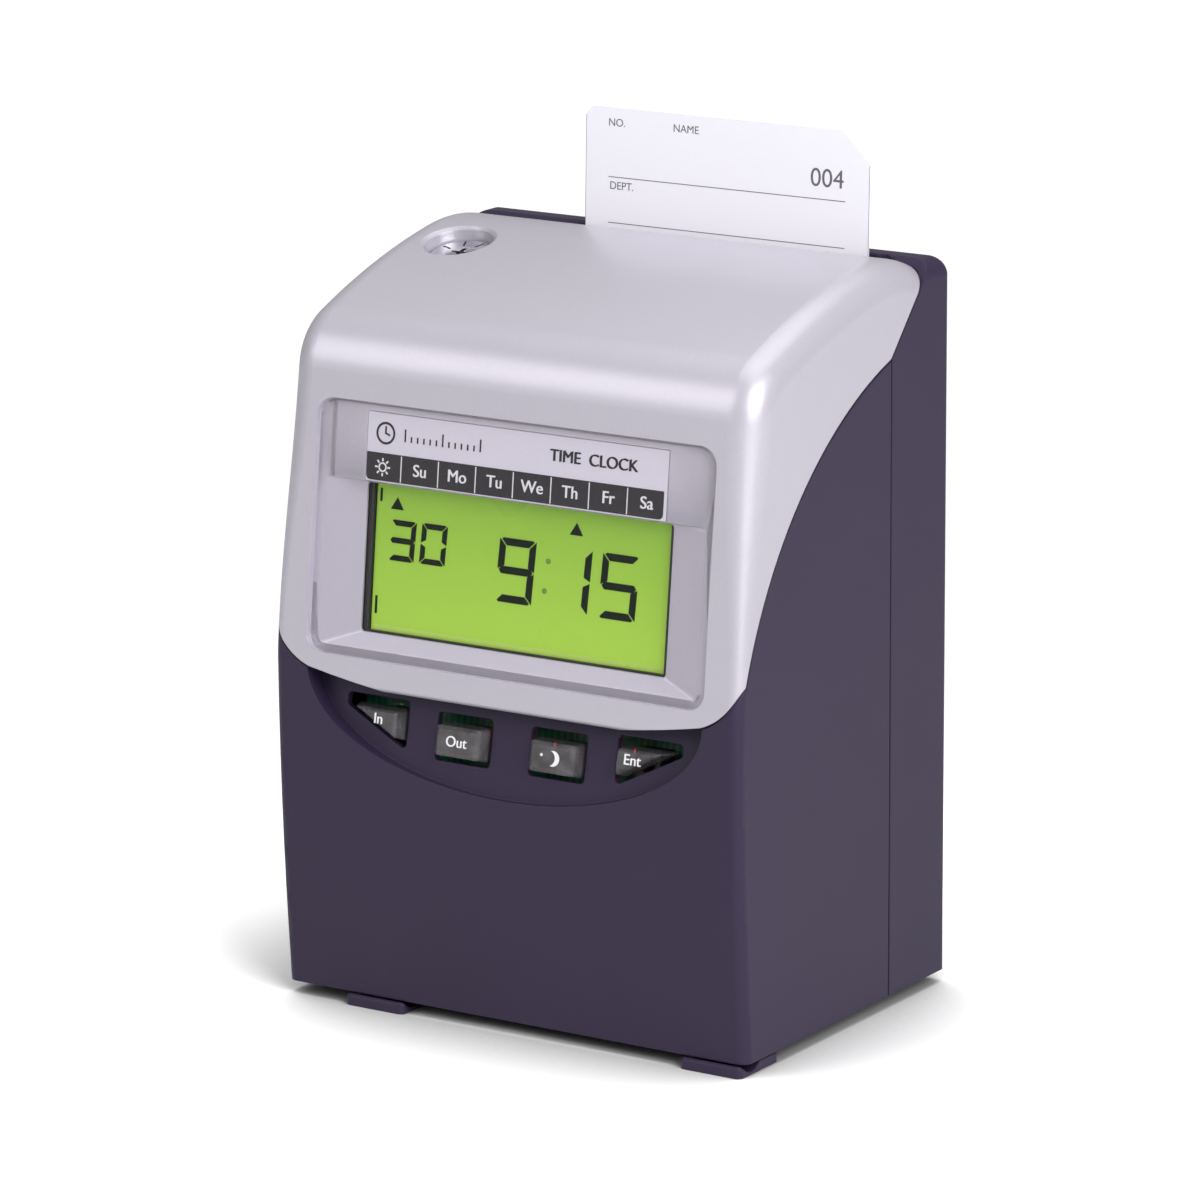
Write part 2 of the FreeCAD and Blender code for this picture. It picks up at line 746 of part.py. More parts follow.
def front_bracket():
    """Upright sheet that carries the display and key boards."""
    t = bracket_t
    z1 = window_at[2] + 34
    plate = box(-bracket_half, bracket_half, bracket_y, bracket_y + t, floor_z1, z1)
    foot = box(-bracket_half, bracket_half, bracket_y + t, bracket_y + 11, floor_z1, floor_z1 + t)
    window = box(-34, 34, bracket_y - 1, bracket_y + t + 1, window_at[2] - 20, window_at[2] + 18)
    low = box(-44, 44, bracket_y - 1, bracket_y + t + 1, floor_z1 + 12, keys_at[2] - 22)
    holes = [rod((x, bracket_y + 7, floor_z0), AXIS_Z, screw_r + 0.2, 10) for x in bracket_screw_x]
    return joined([plate, foot]).cut([window, low] + holes)


# ---------------------------------------------------------------- display and keys
def display_window():
    """Clear cover of the display with a raised rim."""
    outline = rectangle(window_w / 2, -window_h / 2, window_h / 2)
    plate = plate_from(outline, window_r, -0.1, window_t - 0.1)
    ring = plate_from(outline, window_r, -0.1 - window_rim, 0)
    inner = rectangle(window_w / 2, -window_h / 2, window_h / 2, -window_rim_w)
    ring = ring.cut(plate_from(inner, window_r - window_rim_w, -5, 5))
    return on_window(plate.fuse(ring).removeSplitter())


def window_label():
    """Printed panel with the weekday band, behind the window."""
    y = window_t - 0.05
    return on_window(box(-label_half, label_half, y, y + label_t, bevel_top + 0.2, label_top))


def lcd_bezel():
    y0 = frame_t + 0.4
    frame = box(-49, 49, y0, y0 + bezel_t, -29.5, 15)
    hole = box(-44.6, 44.6, y0 - 1, y0 + 5, -25.8, 12.4)
    pocket = box(-46.7, 46.7, y0 + 1, y0 + 5, -27.8, 13.8)
    return on_window(frame.cut([hole, pocket]))


def lcd_glass():
    y0 = frame_t + 1.4 + seat_gap
    return on_window(box(-46.5, 46.5, y0, y0 + glass_t, -27.6, 13.6))


def lcd_backlight():
    y0 = frame_t + 1.4 + glass_t + 2 * seat_gap
    y1 = frame_t + 0.4 + bezel_t
    return on_window(box(-46.5, 46.5, y0, y1, -27.6, 13.6))


def display_board():
    y0 = frame_t + 0.4 + bezel_t
    return on_window(box(-display_board_half, display_board_half, y0, y0 + board_t, -31, 28))


def posts(shape_front, places, radius):
    """Spacers from a leaning board back to the upright bracket."""
    made = []
    for x, z in places:
        post = rod((x, bracket_y - 16, z), AXIS_Y, radius, 16)
        made.append(post.cut(shape_front))
    return group(made)


def display_posts():
    y1 = frame_t + 0.4 + bezel_t + board_t
    front = on_window(box(-far, far, -far, y1, -far, far))
    z = window_at[2]
    return posts(front, [(-50, z - 24), (50, z - 24), (-50, z + 20), (50, z + 20)], post_r)


def keypad_posts():
    front = on_keys(box(-far, far, -far, keypad_board_y + board_t, -far, far))
    z = keys_at[2]
    return posts(front, [(-48, z - 8), (48, z - 8), (0, z + 2)], post_r)


def keypad_board():
    half = keypad_board_h / 2
    return on_keys(box(-keypad_board_half, keypad_board_half, keypad_board_y, keypad_board_y + board_t,
                       -half, half))


def key_centre(name):
    xs = [p[0] for p in key_points(name)]
    zs = [p[1] for p in key_points(name)]
    x = (min(xs) + max(xs)) / 2
    if name in ("in", "enter"):
        x += -2.4 if x > 0 else 2.4
    return x, (min(zs) + max(zs)) / 2


def key_cap(name):
    """Clear key: a tapered cap, and a stem that slides in the switch housing."""
    points = key_points(name)
    face = rounded_loop(points, 0.7, -key_proud)
    base = rounded_loop(grown(points, key_draft), 0.9, key_back)
    cap = Part.makeLoft([face, base], True)
    x, z = key_centre(name)
    stem = rod((x, key_back - 1, z), AXIS_Y, key_stem_r, key_stem_end - key_back + 1)
    return on_keys(cap.fuse(stem).removeSplitter())


def key_switches():
    """Switch housings on the key board; each one guides a key's stem."""
    made = []
    for name in ("in", "out", "night", "enter"):
        x, z = key_centre(name)
        h = switch_w / 2
        body = box(x - h, x + h, 4.4, keypad_board_y, z - h, z + h)
        bore = rod((x, 3, z), AXIS_Y, key_stem_r + seat_gap, key_stem_end + key_travel + 0.3 - 3)
        made.append(body.cut(bore))
    return on_keys(group(made))


def key_leds():
    """Red lamps on the key board, beside the keys."""
    made = []
    for name in ("in", "out", "night", "enter"):
        x, z = key_centre(name)
        x += 5.4 if x < 0 else -5.4
        lamp = rod((x, keypad_board_y - 2.4, z + 2.2), AXIS_Y, 1.0, 2.4)
        made.append(lamp.fuse(Part.makeSphere(1.0, V(x, keypad_board_y - 2.4, z + 2.2))))
    return on_keys(group(made))


# ---------------------------------------------------------------- lock
def lock_barrel():
    """Chrome lock body in its cup, with a bore for the plug."""
    head = rod((0, 0, -lock_cup_deep), AXIS_Z, lock_cup_r - 0.5, 1.6)
    head = head.makeChamfer(0.5, [e for e in head.Edges if e.Vertexes[0].Z > -lock_cup_deep + 1.5])
    body = rod((0, 0, -lock_cup_deep - lock_body_l), AXIS_Z, lock_barrel_r, lock_body_l + 0.5)
    bore = rod((0, 0, -far / 4), AXIS_Z, lock_plug_r + seat_gap, far / 2)
    return on_lock(joined([head, body]).cut(bore))


def hexagon(width, z0, z1):
    radius = width / math.sqrt(3)
    points = [V(radius * math.cos(math.radians(60 * i)), radius * math.sin(math.radians(60 * i)), z0)
              for i in range(7)]
    return Part.Face(Part.makePolygon(points)).extrude(V(0, 0, z1 - z0))


def lock_nut():
    top = -lock_cup_deep - lock_shell_t
    nut = hexagon(lock_nut_w, top - lock_nut_t, top)
    return on_lock(nut.cut(rod((0, 0, -far / 4), AXIS_Z, lock_barrel_r + seat_gap, far / 2)))


def lock_plug():
    """Turning plug with its keyway; its lower end is square for the cam."""
    z0 = -lock_cup_deep - lock_body_l - 1.0
    half = lock_square / 2
    plug = rod((0, 0, z0), AXIS_Z, lock_plug_r, lock_body_l + 2.8)
    square = box(-half, half, -half, half, z0 - lock_cam_t, z0)
    keyway = box(-0.6, 0.6, -2.8, 2.8, z0 + 4, 0)
    wards = box(-1.4, 1.4, -0.7, 0.7, z0 + 4, 0)
    return on_lock(joined([plug, square]).cut([keyway, wards]))


def lock_cam():
    z0 = -lock_cup_deep - lock_body_l - 1.0 - lock_cam_t
    half = lock_square / 2 + seat_gap
    hub = rod((0, 0, z0), AXIS_Z, 5.0, lock_cam_t)
    arm = box(-lock_cam_w / 2, lock_cam_w / 2, 0, lock_cam_l, z0, z0 + lock_cam_t)
    hole = box(-half, half, -half, half, z0 - 1, z0 + 3)
    screw = rod((0, 0, z0 - 1.6), AXIS_Z, 4.0, 1.6)
    return on_lock(group([joined([hub, arm]).cut(hole), screw]))


def lock_catch():
    """Bracket on the rear case; the turned cam stands behind its lip."""
    x0 = catch_x
    cam_down = lock_cup_deep + lock_body_l + 1.0 + lock_cam_t / 2
    cam_y = lock_at[1] + cam_down * math.sin(math.radians(-lock_lean))
    lip_y = cam_y - lock_cam_w / 2 - part_gap - 1.4
    z0 = body_h - slant_drop - 4
    plate = box(x0, x0 + 1.4, lip_y, case_front_y + 19, z0, z0 + 10)
    lip = box(x0, x0 + 9, lip_y, lip_y + 1.2, z0, z0 + 10)
    holes = [rod((x0 - 1, case_front_y + y, z0 + 5), AXIS_X, screw_r + 0.1, 5) for y in (11.5, 16.5)]
    return joined([plate, lip]).cut(holes)


def catch_screws():
    x0 = catch_x
    z = body_h - slant_drop + 1
    return group([rod((x0 + 1.4, case_front_y + y, z), AXIS_X, 2.2, 1.0)
                  .fuse(rod((x0, case_front_y + y, z), AXIS_X, screw_r, 1.6)) for y in (11.5, 16.5)])


# ---------------------------------------------------------------- card and guides
def time_card():
    """Stiff paper card with a small and a large cut corner."""
    z1 = card_low + card_l
    x1 = card_x0 + card_w
    points = [(card_x0, card_low), (x1, card_low), (x1, z1 - card_corner), (x1 - card_corner, z1),
              (card_x0 + card_corner_small, z1), (card_x0, z1 - card_corner_small)]
    loop = [V(x, -card_t / 2, z) for x, z in points + [points[0]]]
    return on_throat(Part.Face(Part.makePolygon(loop)).extrude(V(0, card_t, 0)))


def roller_windows(y0, y1, radius):
    return [box(x - feed_roller_w / 2 - 1, x + feed_roller_w / 2 + 1, y0, y1,
                feed_z - radius - 1, feed_z + radius + 1) for x in roller_x]


def card_guide_rear():
    """Plate behind the card with side rails, a platen window and roller windows."""
    top = -9.0
    bottom = floor_local + guide_end
    plate = box(frame_left_in, frame_right_x, guide_gap, guide_gap + guide_t, bottom, top)
    rails = [box(card_x0 - 2.5, card_x0 - 0.6, -guide_gap, guide_gap, bottom, top),
             box(card_x0 + card_w + 0.6, card_x0 + card_w + 2.5, -guide_gap, guide_gap, bottom, top)]
    window = box(card_x0 + 2, card_x0 + card_w - 2, 0, 5, print_z - 3.6, print_z + 3.6)
    return on_throat(joined([plate] + rails).cut([window] + roller_windows(0, 5, pinch_r)))


def card_guide_front():
    """Plate in front of the card with its end sensor, open at the print line and the feed rollers."""
    top = -9.0
    bottom = floor_local + guide_end
    plate = box(frame_left_in, frame_right_x, -guide_gap - guide_t, -guide_gap, bottom, top)
    flare = side_polygon([(-guide_gap - guide_t, top - 3), (-guide_gap, top - 3), (-guide_gap, top),
                          (-guide_gap - 1.6, top + 3), (-guide_gap - guide_t - 1.6, top + 3)],
                         card_x0 - 2, card_x0 + card_w + 2)
    sensor_x = card_x0 + card_w - 12
    sensor = box(sensor_x, sensor_x + 8, -guide_gap - guide_t - 4, -guide_gap - guide_t,
                 card_low - 10, card_low + 2)
    window = box(frame_left_in + 2.5, frame_right_x - 3, -5, 0, print_z - 8, print_z + 8)
    return on_throat(joined([plate, flare, sensor]).cut([window] + roller_windows(-5, 0, feed_r)))


def card_stop():
    """Rest under the card's lowest place, with a groove that centres the card."""
    z1 = card_park_z - card_down - 0.5
    y = throat_at[1] - (slot_z - z1) * math.tan(math.radians(card_lean))
    return box(card_x0 + 10, card_x0 + card_w - 10, y - 4, y + 4, floor_z1, z1)


def platen():
    """Rubber bar behind the card at the print line."""
    x0 = frame_left_in
    bar = box(card_x0 + 3, card_x0 + card_w - 3, card_t / 2 + part_gap, 6, print_z - 3, print_z + 3)
    beam = box(x0, frame_right_x, 3.2, 6, print_z - 3, print_z + 3)
    return on_throat(joined([bar, beam]))


# ---------------------------------------------------------------- printer and feed
def printer_frame(x0, x1):
    """Upright side plate of the printer, standing on the chassis floor."""
    bottom = floor_local - 10
    outline = [(frame_front_y, bottom), (frame_front_y, -40), (-14, -22), (-6, -8), (7.5, -8), (7.5, bottom)]
    plate = on_throat(side_polygon(outline, x0, x1))
    plate = plate.common(box(-far, far, -far, far, floor_z1, far * 2))
    tab_x0 = x0 - frame_tab_w if x0 > 0 else x1
    tab = box(tab_x0, tab_x0 + frame_tab_w, throat_at[1] - 34, throat_at[1] - 14,
              floor_z1, floor_z1 + frame_t_sheet)
    cuts = [rod((x0 - 5, y, rod_z), AXIS_X, rod_r + seat_gap, 15) for y in (rod_front_y, rod_rear_y)]
    cuts.append(rod((x0 - 5, feed_y, feed_z), AXIS_X, feed_shaft_r + seat_gap, 15))
    cuts.append(rod((x0 - 5, pinch_y, feed_z), AXIS_X, pinch_shaft_r + seat_gap, 15))
    cuts.append(rod((x0 - 5, pinion_y, feed_z), AXIS_X, 3.0, 15))
    return joined([plate, tab]).cut([on_throat(cut) for cut in cuts])


def guide_rods():
    length = frame_right_out - frame_left_x
    return on_throat(group([rod((frame_left_x, y, rod_z), AXIS_X, rod_r, length)
                            for y in (rod_front_y, rod_rear_y)]))


def rear_brace():
    """Bar across the back of both side plates; the case screws go into it."""
    y0 = inner_back_y - 2.5
    z = slot_z - 24
    bar = box(frame_left_x, frame_right_out, y0, y0 + 1.4, z - 6, z + 6)
    holes = [rod((x, y0 - 5, zz), AXIS_Y, screw_r + seat_gap, 10) for x, zz in upper_screws()]
    return bar.cut(holes)


def drive_plate():
    """Shelf between the side plates for the carriage motor and the belt's idler."""
    z0 = belt_z - 4.2
    shelf = box(frame_left_in, frame_right_x, belt_y - 9, rod_front_y + 2, z0, z0 + 1.6)
    hole = rod((pulley_left_x, belt_y, z0 - 5), AXIS_Z, 3.2, 10)
    stud = rod((pulley_right_x, belt_y, z0), AXIS_Z, 1.5, 13.0)
    collar = rod((pulley_right_x, belt_y, z0), AXIS_Z, 2.6, 2.5)
    return on_throat(joined([shelf.cut(hole), stud, collar]))


def carriage_motor():
    z1 = belt_z - 4.2
    return on_throat(stepper((pulley_left_x, belt_y, z1), V(0, 0, -1)))


def feed_motor():
    return on_throat(stepper((frame_left_in, pinion_y, feed_z), AXIS_X))


def stepper(face, back):
    """Motor can behind its mounting face, with a boss and a connector block."""
    can = rod(face, back, motor_r, motor_l)
    can = can.makeChamfer(0.8, [e for e in can.Edges if e.Curve.TypeId == "Part::GeomCircle"])
    boss = rod(face, back * -1, 2.9, 1.0)
    return joined([can, boss]).cut(rod(V(*face) - back * 5, back, 1.5 + seat_gap, 14))


def pulley(x, bore):
    """Flanged belt pulley on the axis at x."""
    drum = rod((x, belt_y, belt_z - 0.4), AXIS_Z, pulley_r, belt_w + 0.8)
    low = rod((x, belt_y, belt_z - 1.4), AXIS_Z, pulley_r + 1.8, 1.0)
    high = rod((x, belt_y, belt_z + belt_w + 0.4), AXIS_Z, pulley_r + 1.8, 1.0)
    return on_throat(joined([drum, low, high]).cut(rod((x, belt_y, belt_z - 9), AXIS_Z, bore, 30)))


def drive_pulley():
    """Belt pulley on the carriage motor's shaft."""
    shaft = rod((pulley_left_x, belt_y, belt_z - 12), AXIS_Z, 1.5, 12 + belt_w + 3)
    return joined([pulley(pulley_left_x, 1.0), on_throat(shaft)])


def carriage_belt():
    """Closed belt round both pulleys."""
    r0 = pulley_r + part_gap
    r1 = r0 + belt_t
    loops = []
    for r in (r0, r1):
        ends = [rod((x, belt_y, belt_z), AXIS_Z, r, belt_w) for x in (pulley_left_x, pulley_right_x)]
        mid = box(pulley_left_x, pulley_right_x, belt_y - r, belt_y + r, belt_z, belt_z + belt_w)
        loops.append(joined([mid] + ends))
    return on_throat(loops[1].cut(loops[0]))


def carriage():
    """Block on the two rods that holds the print head and grips the belt."""
    x0 = carriage_x - carriage_w / 2
    x1 = carriage_x + carriage_w / 2
    block = box(x0, x1, rod_front_y - 4.5, rod_rear_y + 4.5, rod_z - 6, rod_z + 6)
    run_y = belt_y + pulley_r + part_gap
    tab = box(carriage_x - 3.5, carriage_x + 3.5, run_y - 2, rod_front_y - 4, belt_z + belt_w + 0.8,
              belt_z + belt_w + 3)
    fingers = [box(carriage_x - 3.5, carriage_x + 3.5, y, y + 1.0, belt_z, belt_z + belt_w + 1)
               for y in (run_y - 1.6, run_y + belt_t + 0.6)]
    bores = [rod((x0 - 5, y, rod_z), AXIS_X, rod_r + seat_gap, carriage_w + 10)
             for y in (rod_front_y, rod_rear_y)]
    return on_throat(joined([block, tab] + fingers).cut(bores))


def print_head():
    """Dot head with cooling fins and a narrow nose that faces the ribbon."""
    z0 = rod_z + 6
    body = box(carriage_x - 9, carriage_x + 9, -22, -7, z0, z0 + 18)
    nose = box(carriage_x - 4, carriage_x + 4, -8, -1.9, print_z - 4, print_z + 4)
    fins = [box(carriage_x - 10.5, carriage_x + 10.5, -23.2 + 2.8 * i, -21.8 + 2.8 * i, z0 + 3, z0 + 18)
            for i in range(6)]
    return on_throat(joined([body, nose] + fins))


def ribbon_cartridge():
    """Flat cassette above the print head, with an arm down to each end of the ribbon."""
    x0 = frame_left_in + 2.5
    x1 = frame_right_x - 4
    case = plate_like(x0, x1, -42, -6.5, -22, -11)
    arms = [box(x0, x0 + 5, -12, -4.0, print_z - 7, -20), box(x1 - 5, x1, -12, -4.0, print_z - 7, -20)]
    knob_hole = rod((ribbon_knob_x, ribbon_knob_y, -40), AXIS_Z, ribbon_stem_r + seat_gap, 60)
    return on_throat(joined([case] + arms).cut(knob_hole))


def plate_like(x0, x1, y0, y1, z0, z1):
    slab = box(x0, x1, y0, y1, z0, z1)
    corners = [e for e in slab.Edges if abs(e.Vertexes[0].Z - e.Vertexes[-1].Z) > 1]
    return slab.makeFillet(4.0, corners)


def ribbon_knob():
    cap = rod((ribbon_knob_x, ribbon_knob_y, -10.6), AXIS_Z, ribbon_knob_r, 4.6)
    grooves = []
    for i in range(12):
        out = polar(ribbon_knob_r + 0.2, math.radians(30 * i))
        grooves.append(rod((ribbon_knob_x + out.x, ribbon_knob_y + out.y, -11), AXIS_Z, 0.9, 8))
    stem = rod((ribbon_knob_x, ribbon_knob_y, -24), AXIS_Z, ribbon_stem_r, 13.4)
    return on_throat(joined([cap.cut(grooves), stem]))


def ribbon_band():
    """Inked band stretched across the print line."""
    x0 = frame_left_in + 7.5
    x1 = frame_right_x - 9
    y = -guide_gap - 0.2
    band = box(x0 - 4, x1 + 4, y - 0.35, y - 0.2, print_z - 6, print_z + 6)
    ends = [box(x0 - 4, x0 - 3.8, -4.0, y - 0.2, print_z - 6, print_z + 6),
            box(x1 + 3.8, x1 + 4, -4.0, y - 0.2, print_z - 6, print_z + 6)]
    return on_throat(joined([band] + ends))


def feed_shaft():
    length = frame_right_out + 2 - (frame_left_x - 2 - gear_w - 1)
    return on_throat(rod((frame_left_x - 3 - gear_w, feed_y, feed_z), AXIS_X, feed_shaft_r, length))


def rollers(y, radius, shaft_r, width):
    return on_throat(group([tube((x - width / 2, y, feed_z), AXIS_X, radius, shaft_r, width)
                            for x in roller_x]))


def pinch_rollers():
    """Two rollers on one shaft behind the card."""
    shaft = rod((frame_left_x, pinch_y, feed_z), AXIS_X, pinch_shaft_r, frame_right_out - frame_left_x)
    return joined([rollers(pinch_y, pinch_r, pinch_shaft_r / 2, feed_roller_w - 2), on_throat(shaft)])


def involute_gear(teeth, phase, bore):
    """Spur gear about Z with involute flanks, a tooth at the phase angle and a little backlash."""
    pitch = gear_module * teeth / 2
    base = pitch * math.cos(math.radians(20))
    outer = pitch + 0.9 * gear_module
    root = pitch - 1.25 * gear_module
    roll_pitch = math.sqrt((pitch / base) ** 2 - 1)
    half_tooth = math.pi / (2 * teeth) - 0.05 / pitch + roll_pitch - math.atan(roll_pitch)
    flank = []
    low = max(base, root)
    for i in range(5):
        r = low + (outer - low) * i / 4
        roll = math.sqrt(max((r / base) ** 2 - 1, 0))
        flank.append((r, half_tooth - (roll - math.atan(roll))))
    if root < base:
        flank.insert(0, (root, flank[0][1]))
    points = []
    for k in range(teeth):
        middle = phase + 2 * math.pi * k / teeth
        points += [polar(r, middle - a) for r, a in flank]
        points += [polar(r, middle + a) for r, a in reversed(flank)]
    blank = Part.Face(Part.makePolygon(points + [points[0]])).extrude(V(0, 0, gear_w))
    return blank.cut(rod((0, 0, -1), AXIS_Z, bore, gear_w + 2))


def polar(radius, angle):
    return V(radius * math.cos(angle), radius * math.sin(angle), 0)


def gear_on_x(gear, x, y):
    gear.rotate(V(0, 0, 0), AXIS_Y, 90)
    gear.translate(V(x, y, feed_z))
    return on_throat(gear)


def feed_gear():
    phase = -math.pi / 2
    return gear_on_x(involute_gear(gear_teeth, phase, feed_shaft_r), frame_left_x - 2 - gear_w, feed_y)


def feed_pinion():
    phase = math.pi / 2 + math.pi / pinion_teeth
    gear = gear_on_x(involute_gear(pinion_teeth, phase, 1.0), frame_left_x - 2 - gear_w, pinion_y)
    x0 = frame_left_x - 3 - gear_w
    return joined([gear, on_throat(rod((x0, pinion_y, feed_z), AXIS_X, 1.5, 17))])


# ---------------------------------------------------------------- electronics
def main_board():
    board = box(board_x0, board_x1, board_y0, board_y1, board_z, board_z + board_t)
    holes = [rod((x, y, board_z - 1), AXIS_Z, 1.3, 4) for x, y in board_corners()]
    return board.cut(holes)


def board_corners():
    return [(x, y) for x in (board_x0 + board_hole_in, board_x1 - board_hole_in)
            for y in (board_y0 + board_hole_in, board_y1 - board_hole_in)]


def board_pillars():
    return group([rod((x, y, floor_z1), AXIS_Z, 2.8, board_z - floor_z1)
                  .fuse(rod((x, y, board_z), AXIS_Z, 1.2, board_t)) for x, y in board_corners()])


def board_parts():
    """Chips, capacitors, a coil and connectors on the main board."""
    z = board_z + board_t
    chips = [box(0, 24, -10, -2, z, z + 3), box(-10, 6, 4, 11, z, z + 2.2), box(14, 26, 4, 12, z, z + 2.2)]
    cans = [rod((x, y, z), AXIS_Z, r, h) for x, y, r, h in
            ((36, -7, 5, 14), (48, -7, 5, 14), (36, 6, 4, 10), (46, 6, 4, 10), (-8, -7, 3, 7))]
    plugs = [box(x, x + 12, board_y1 - 6.5, board_y1 - 1, z, z + 7) for x in (-4, 12, 28)]
    coil = tube((55, 3, z), AXIS_Z, 4.5, 1.8, 6)
    return group(chips + cans + plugs + [coil])


def battery_pack():
    """Two wrapped cells, one above the other, on the bracket's foot."""
    y0 = bracket_y + 2.0
    x = -55.5
    low = floor_z1 + bracket_t + battery_r
    cells = [rod((x, y0, low + i * 2 * battery_r), AXIS_Y, battery_r, battery_l) for i in (0, 1)]
    web = box(x - battery_r + 0.3, x + battery_r - 0.3, y0, y0 + battery_l, low, low + 2 * battery_r)
    return joined(cells + [web])


def buzzer():
    can = rod((*buzzer_at, floor_z1), AXIS_Z, buzzer_r, 8)
    return can.cut(rod((*buzzer_at, floor_z1 + 5), AXIS_Z, 1.2, 9))


def dc_jack():
    """Power inlet whose collar fills the hole in the back wall."""
    x, z = jack_at
    body = box(x - 5, x + 5, inner_back_y - 12, inner_back_y - 0.1, floor_z1, z + 5.5)
    collar = rod((x, inner_back_y - 2, z), AXIS_Y, jack_r, wall + 1.6)
    bore = rod((x, back_y - 10, z), AXIS_Y, jack_bore_r, 20)
    pin = rod((x, back_y - 11, z), AXIS_Y, 1.0, 9.5)
    return joined([joined([body, collar]).cut(bore), pin])


def screw_at(x, y, z, axis, length):
    head = rod((x, y, z), axis, screw_head_r, screw_head_t)
    start = V(x, y, z) - axis * length
    return head.fuse(Part.makeCylinder(screw_r, length, start, axis))


def case_screws():
    return group([screw_at(x, back_y - 1.35, z, AXIS_Y, 4.6) for x, z in upper_screws()]
                 + [screw_at(x, back_y - 1.35, z, AXIS_Y, 3.0) for x, z in lower_screws()])


def bracket_screws():
    z = floor_z1 + bracket_t
    return group([screw_at(x, bracket_y + 7, z, AXIS_Z, bracket_t) for x in bracket_screw_x])


# ---------------------------------------------------------------- every node
def build():
    document = FreeCAD.newDocument("clock")
    outer = cover_block(document, 0)
    void = cover_block(document, wall)
    tool = silver_tool()
    nodes = {
        "top_cover": top_cover(outer, void, tool),
        "front_cover": front_cover(document, outer, void, tool),
        "display_window": display_window(),
        "window_label": window_label(),
        "lock_barrel": lock_barrel(),
        "lock_nut": lock_nut(),
        "lock_plug": lock_plug(),
        "lock_cam": lock_cam(),
        "rear_case": rear_case(),
        "chassis": chassis(),
        "hinge_pins": hinge_pins(),
        "front_feet": front_feet(),
        "rear_feet": rear_feet(),
        "front_bracket": front_bracket(),
        "lcd_bezel": lcd_bezel(),
        "lcd_glass": lcd_glass(),
        "lcd_backlight": lcd_backlight(),
        "display_board": display_board(),
        "board_posts": group([display_posts(), keypad_posts()]),
        "keypad_board": keypad_board(),
        "key_switches": key_switches(),
        "key_leds": key_leds(),
        "lock_catch": lock_catch(),
        "case_screws": group([case_screws(), catch_screws(), bracket_screws()]),
        "time_card": time_card(),
        "card_guide_rear": card_guide_rear(),
        "card_guide_front": card_guide_front(),
        "card_stop": card_stop(),
        "platen": platen(),
        "printer_frames": group([printer_frame(frame_left_x, frame_left_in),
                                 printer_frame(frame_right_x, frame_right_out)]),
        "guide_rods": guide_rods(),
        "rear_brace": rear_brace(),
        "drive_plate": drive_plate(),
        "carriage_motor": carriage_motor(),
        "carriage_belt": carriage_belt(),
        "drive_pulley": drive_pulley(),
        "idler_pulley": pulley(pulley_right_x, 1.5 + seat_gap),
        "carriage": carriage(),
        "print_head": print_head(),
        "ribbon_cartridge": ribbon_cartridge(),
        "ribbon_knob": ribbon_knob(),
        "ribbon_band": ribbon_band(),
        "feed_motor": feed_motor(),
        "feed_pinion": feed_pinion(),
        "feed_shaft": feed_shaft(),
        "feed_rollers": rollers(feed_y, feed_r, feed_shaft_r, feed_roller_w),
        "feed_gear": feed_gear(),
        "pinch_rollers": pinch_rollers(),
        "buzzer": buzzer(),
        "main_board": main_board(),
        "board_pillars": board_pillars(),
        "board_parts": board_parts(),
        "battery_pack": battery_pack(),
        "dc_jack": dc_jack(),
    }
    for name in ("in", "out", "night", "enter"):
        nodes["key_" + name] = key_cap(name)
    return nodes


os.makedirs("parts", exist_ok=True)
for name, shape in build().items():
    shape.exportStep("parts/" + name + ".step")
    print(name, shape.isValid(), len(shape.Solids), round(shape.Volume, 1))
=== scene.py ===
# %% [markdown]
# # Punch time clock
# A desk time recorder: a weekly card stands in the slot on top, the machine pulls it down,
# prints the time on it and lifts it again. This notebook dresses the engineering model with
# finishes and adds the fine pieces that are too small for it, such as the display's digits.
# The engineering nodes keep their shapes and places: only what is printed, engraved or clear
# is added or stands in for them.

# %% Load the engineering model
import math

import bmesh
import bpy
from mathutils import Matrix, Vector


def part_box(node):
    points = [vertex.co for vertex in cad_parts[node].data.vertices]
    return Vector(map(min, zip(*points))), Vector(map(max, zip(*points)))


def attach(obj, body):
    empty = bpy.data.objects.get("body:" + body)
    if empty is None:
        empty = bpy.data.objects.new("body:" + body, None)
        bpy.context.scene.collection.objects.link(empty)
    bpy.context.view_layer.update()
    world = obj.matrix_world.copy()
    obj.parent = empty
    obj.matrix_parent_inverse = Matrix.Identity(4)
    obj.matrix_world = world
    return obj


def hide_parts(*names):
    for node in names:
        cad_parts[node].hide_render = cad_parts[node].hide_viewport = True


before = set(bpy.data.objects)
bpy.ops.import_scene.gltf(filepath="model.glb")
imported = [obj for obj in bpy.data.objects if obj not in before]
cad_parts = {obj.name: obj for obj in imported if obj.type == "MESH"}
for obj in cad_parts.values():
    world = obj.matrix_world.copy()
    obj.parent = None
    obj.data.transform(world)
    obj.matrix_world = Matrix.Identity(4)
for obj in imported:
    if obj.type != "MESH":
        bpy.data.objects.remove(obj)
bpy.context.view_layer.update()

# %% [markdown]
# ## Working planes
# The display, the keys, the card and the lock each lean at their own angle. Details could be
# placed on them one by one with turned coordinates, but it is easier to draw flat. So a working
# plane is found from a node that lies in it: the node's corners are turned upright, and their
# lowest and highest values give its true size. Details are then drawn in millimetres, with x to
# the right, z upwards and y away from the viewer.

# %% Measure the leaning planes
MM = 0.001
WINDOW_LEAN = 6.36
CARD_LEAN = 1.9
LOCK_LEAN = -12.5


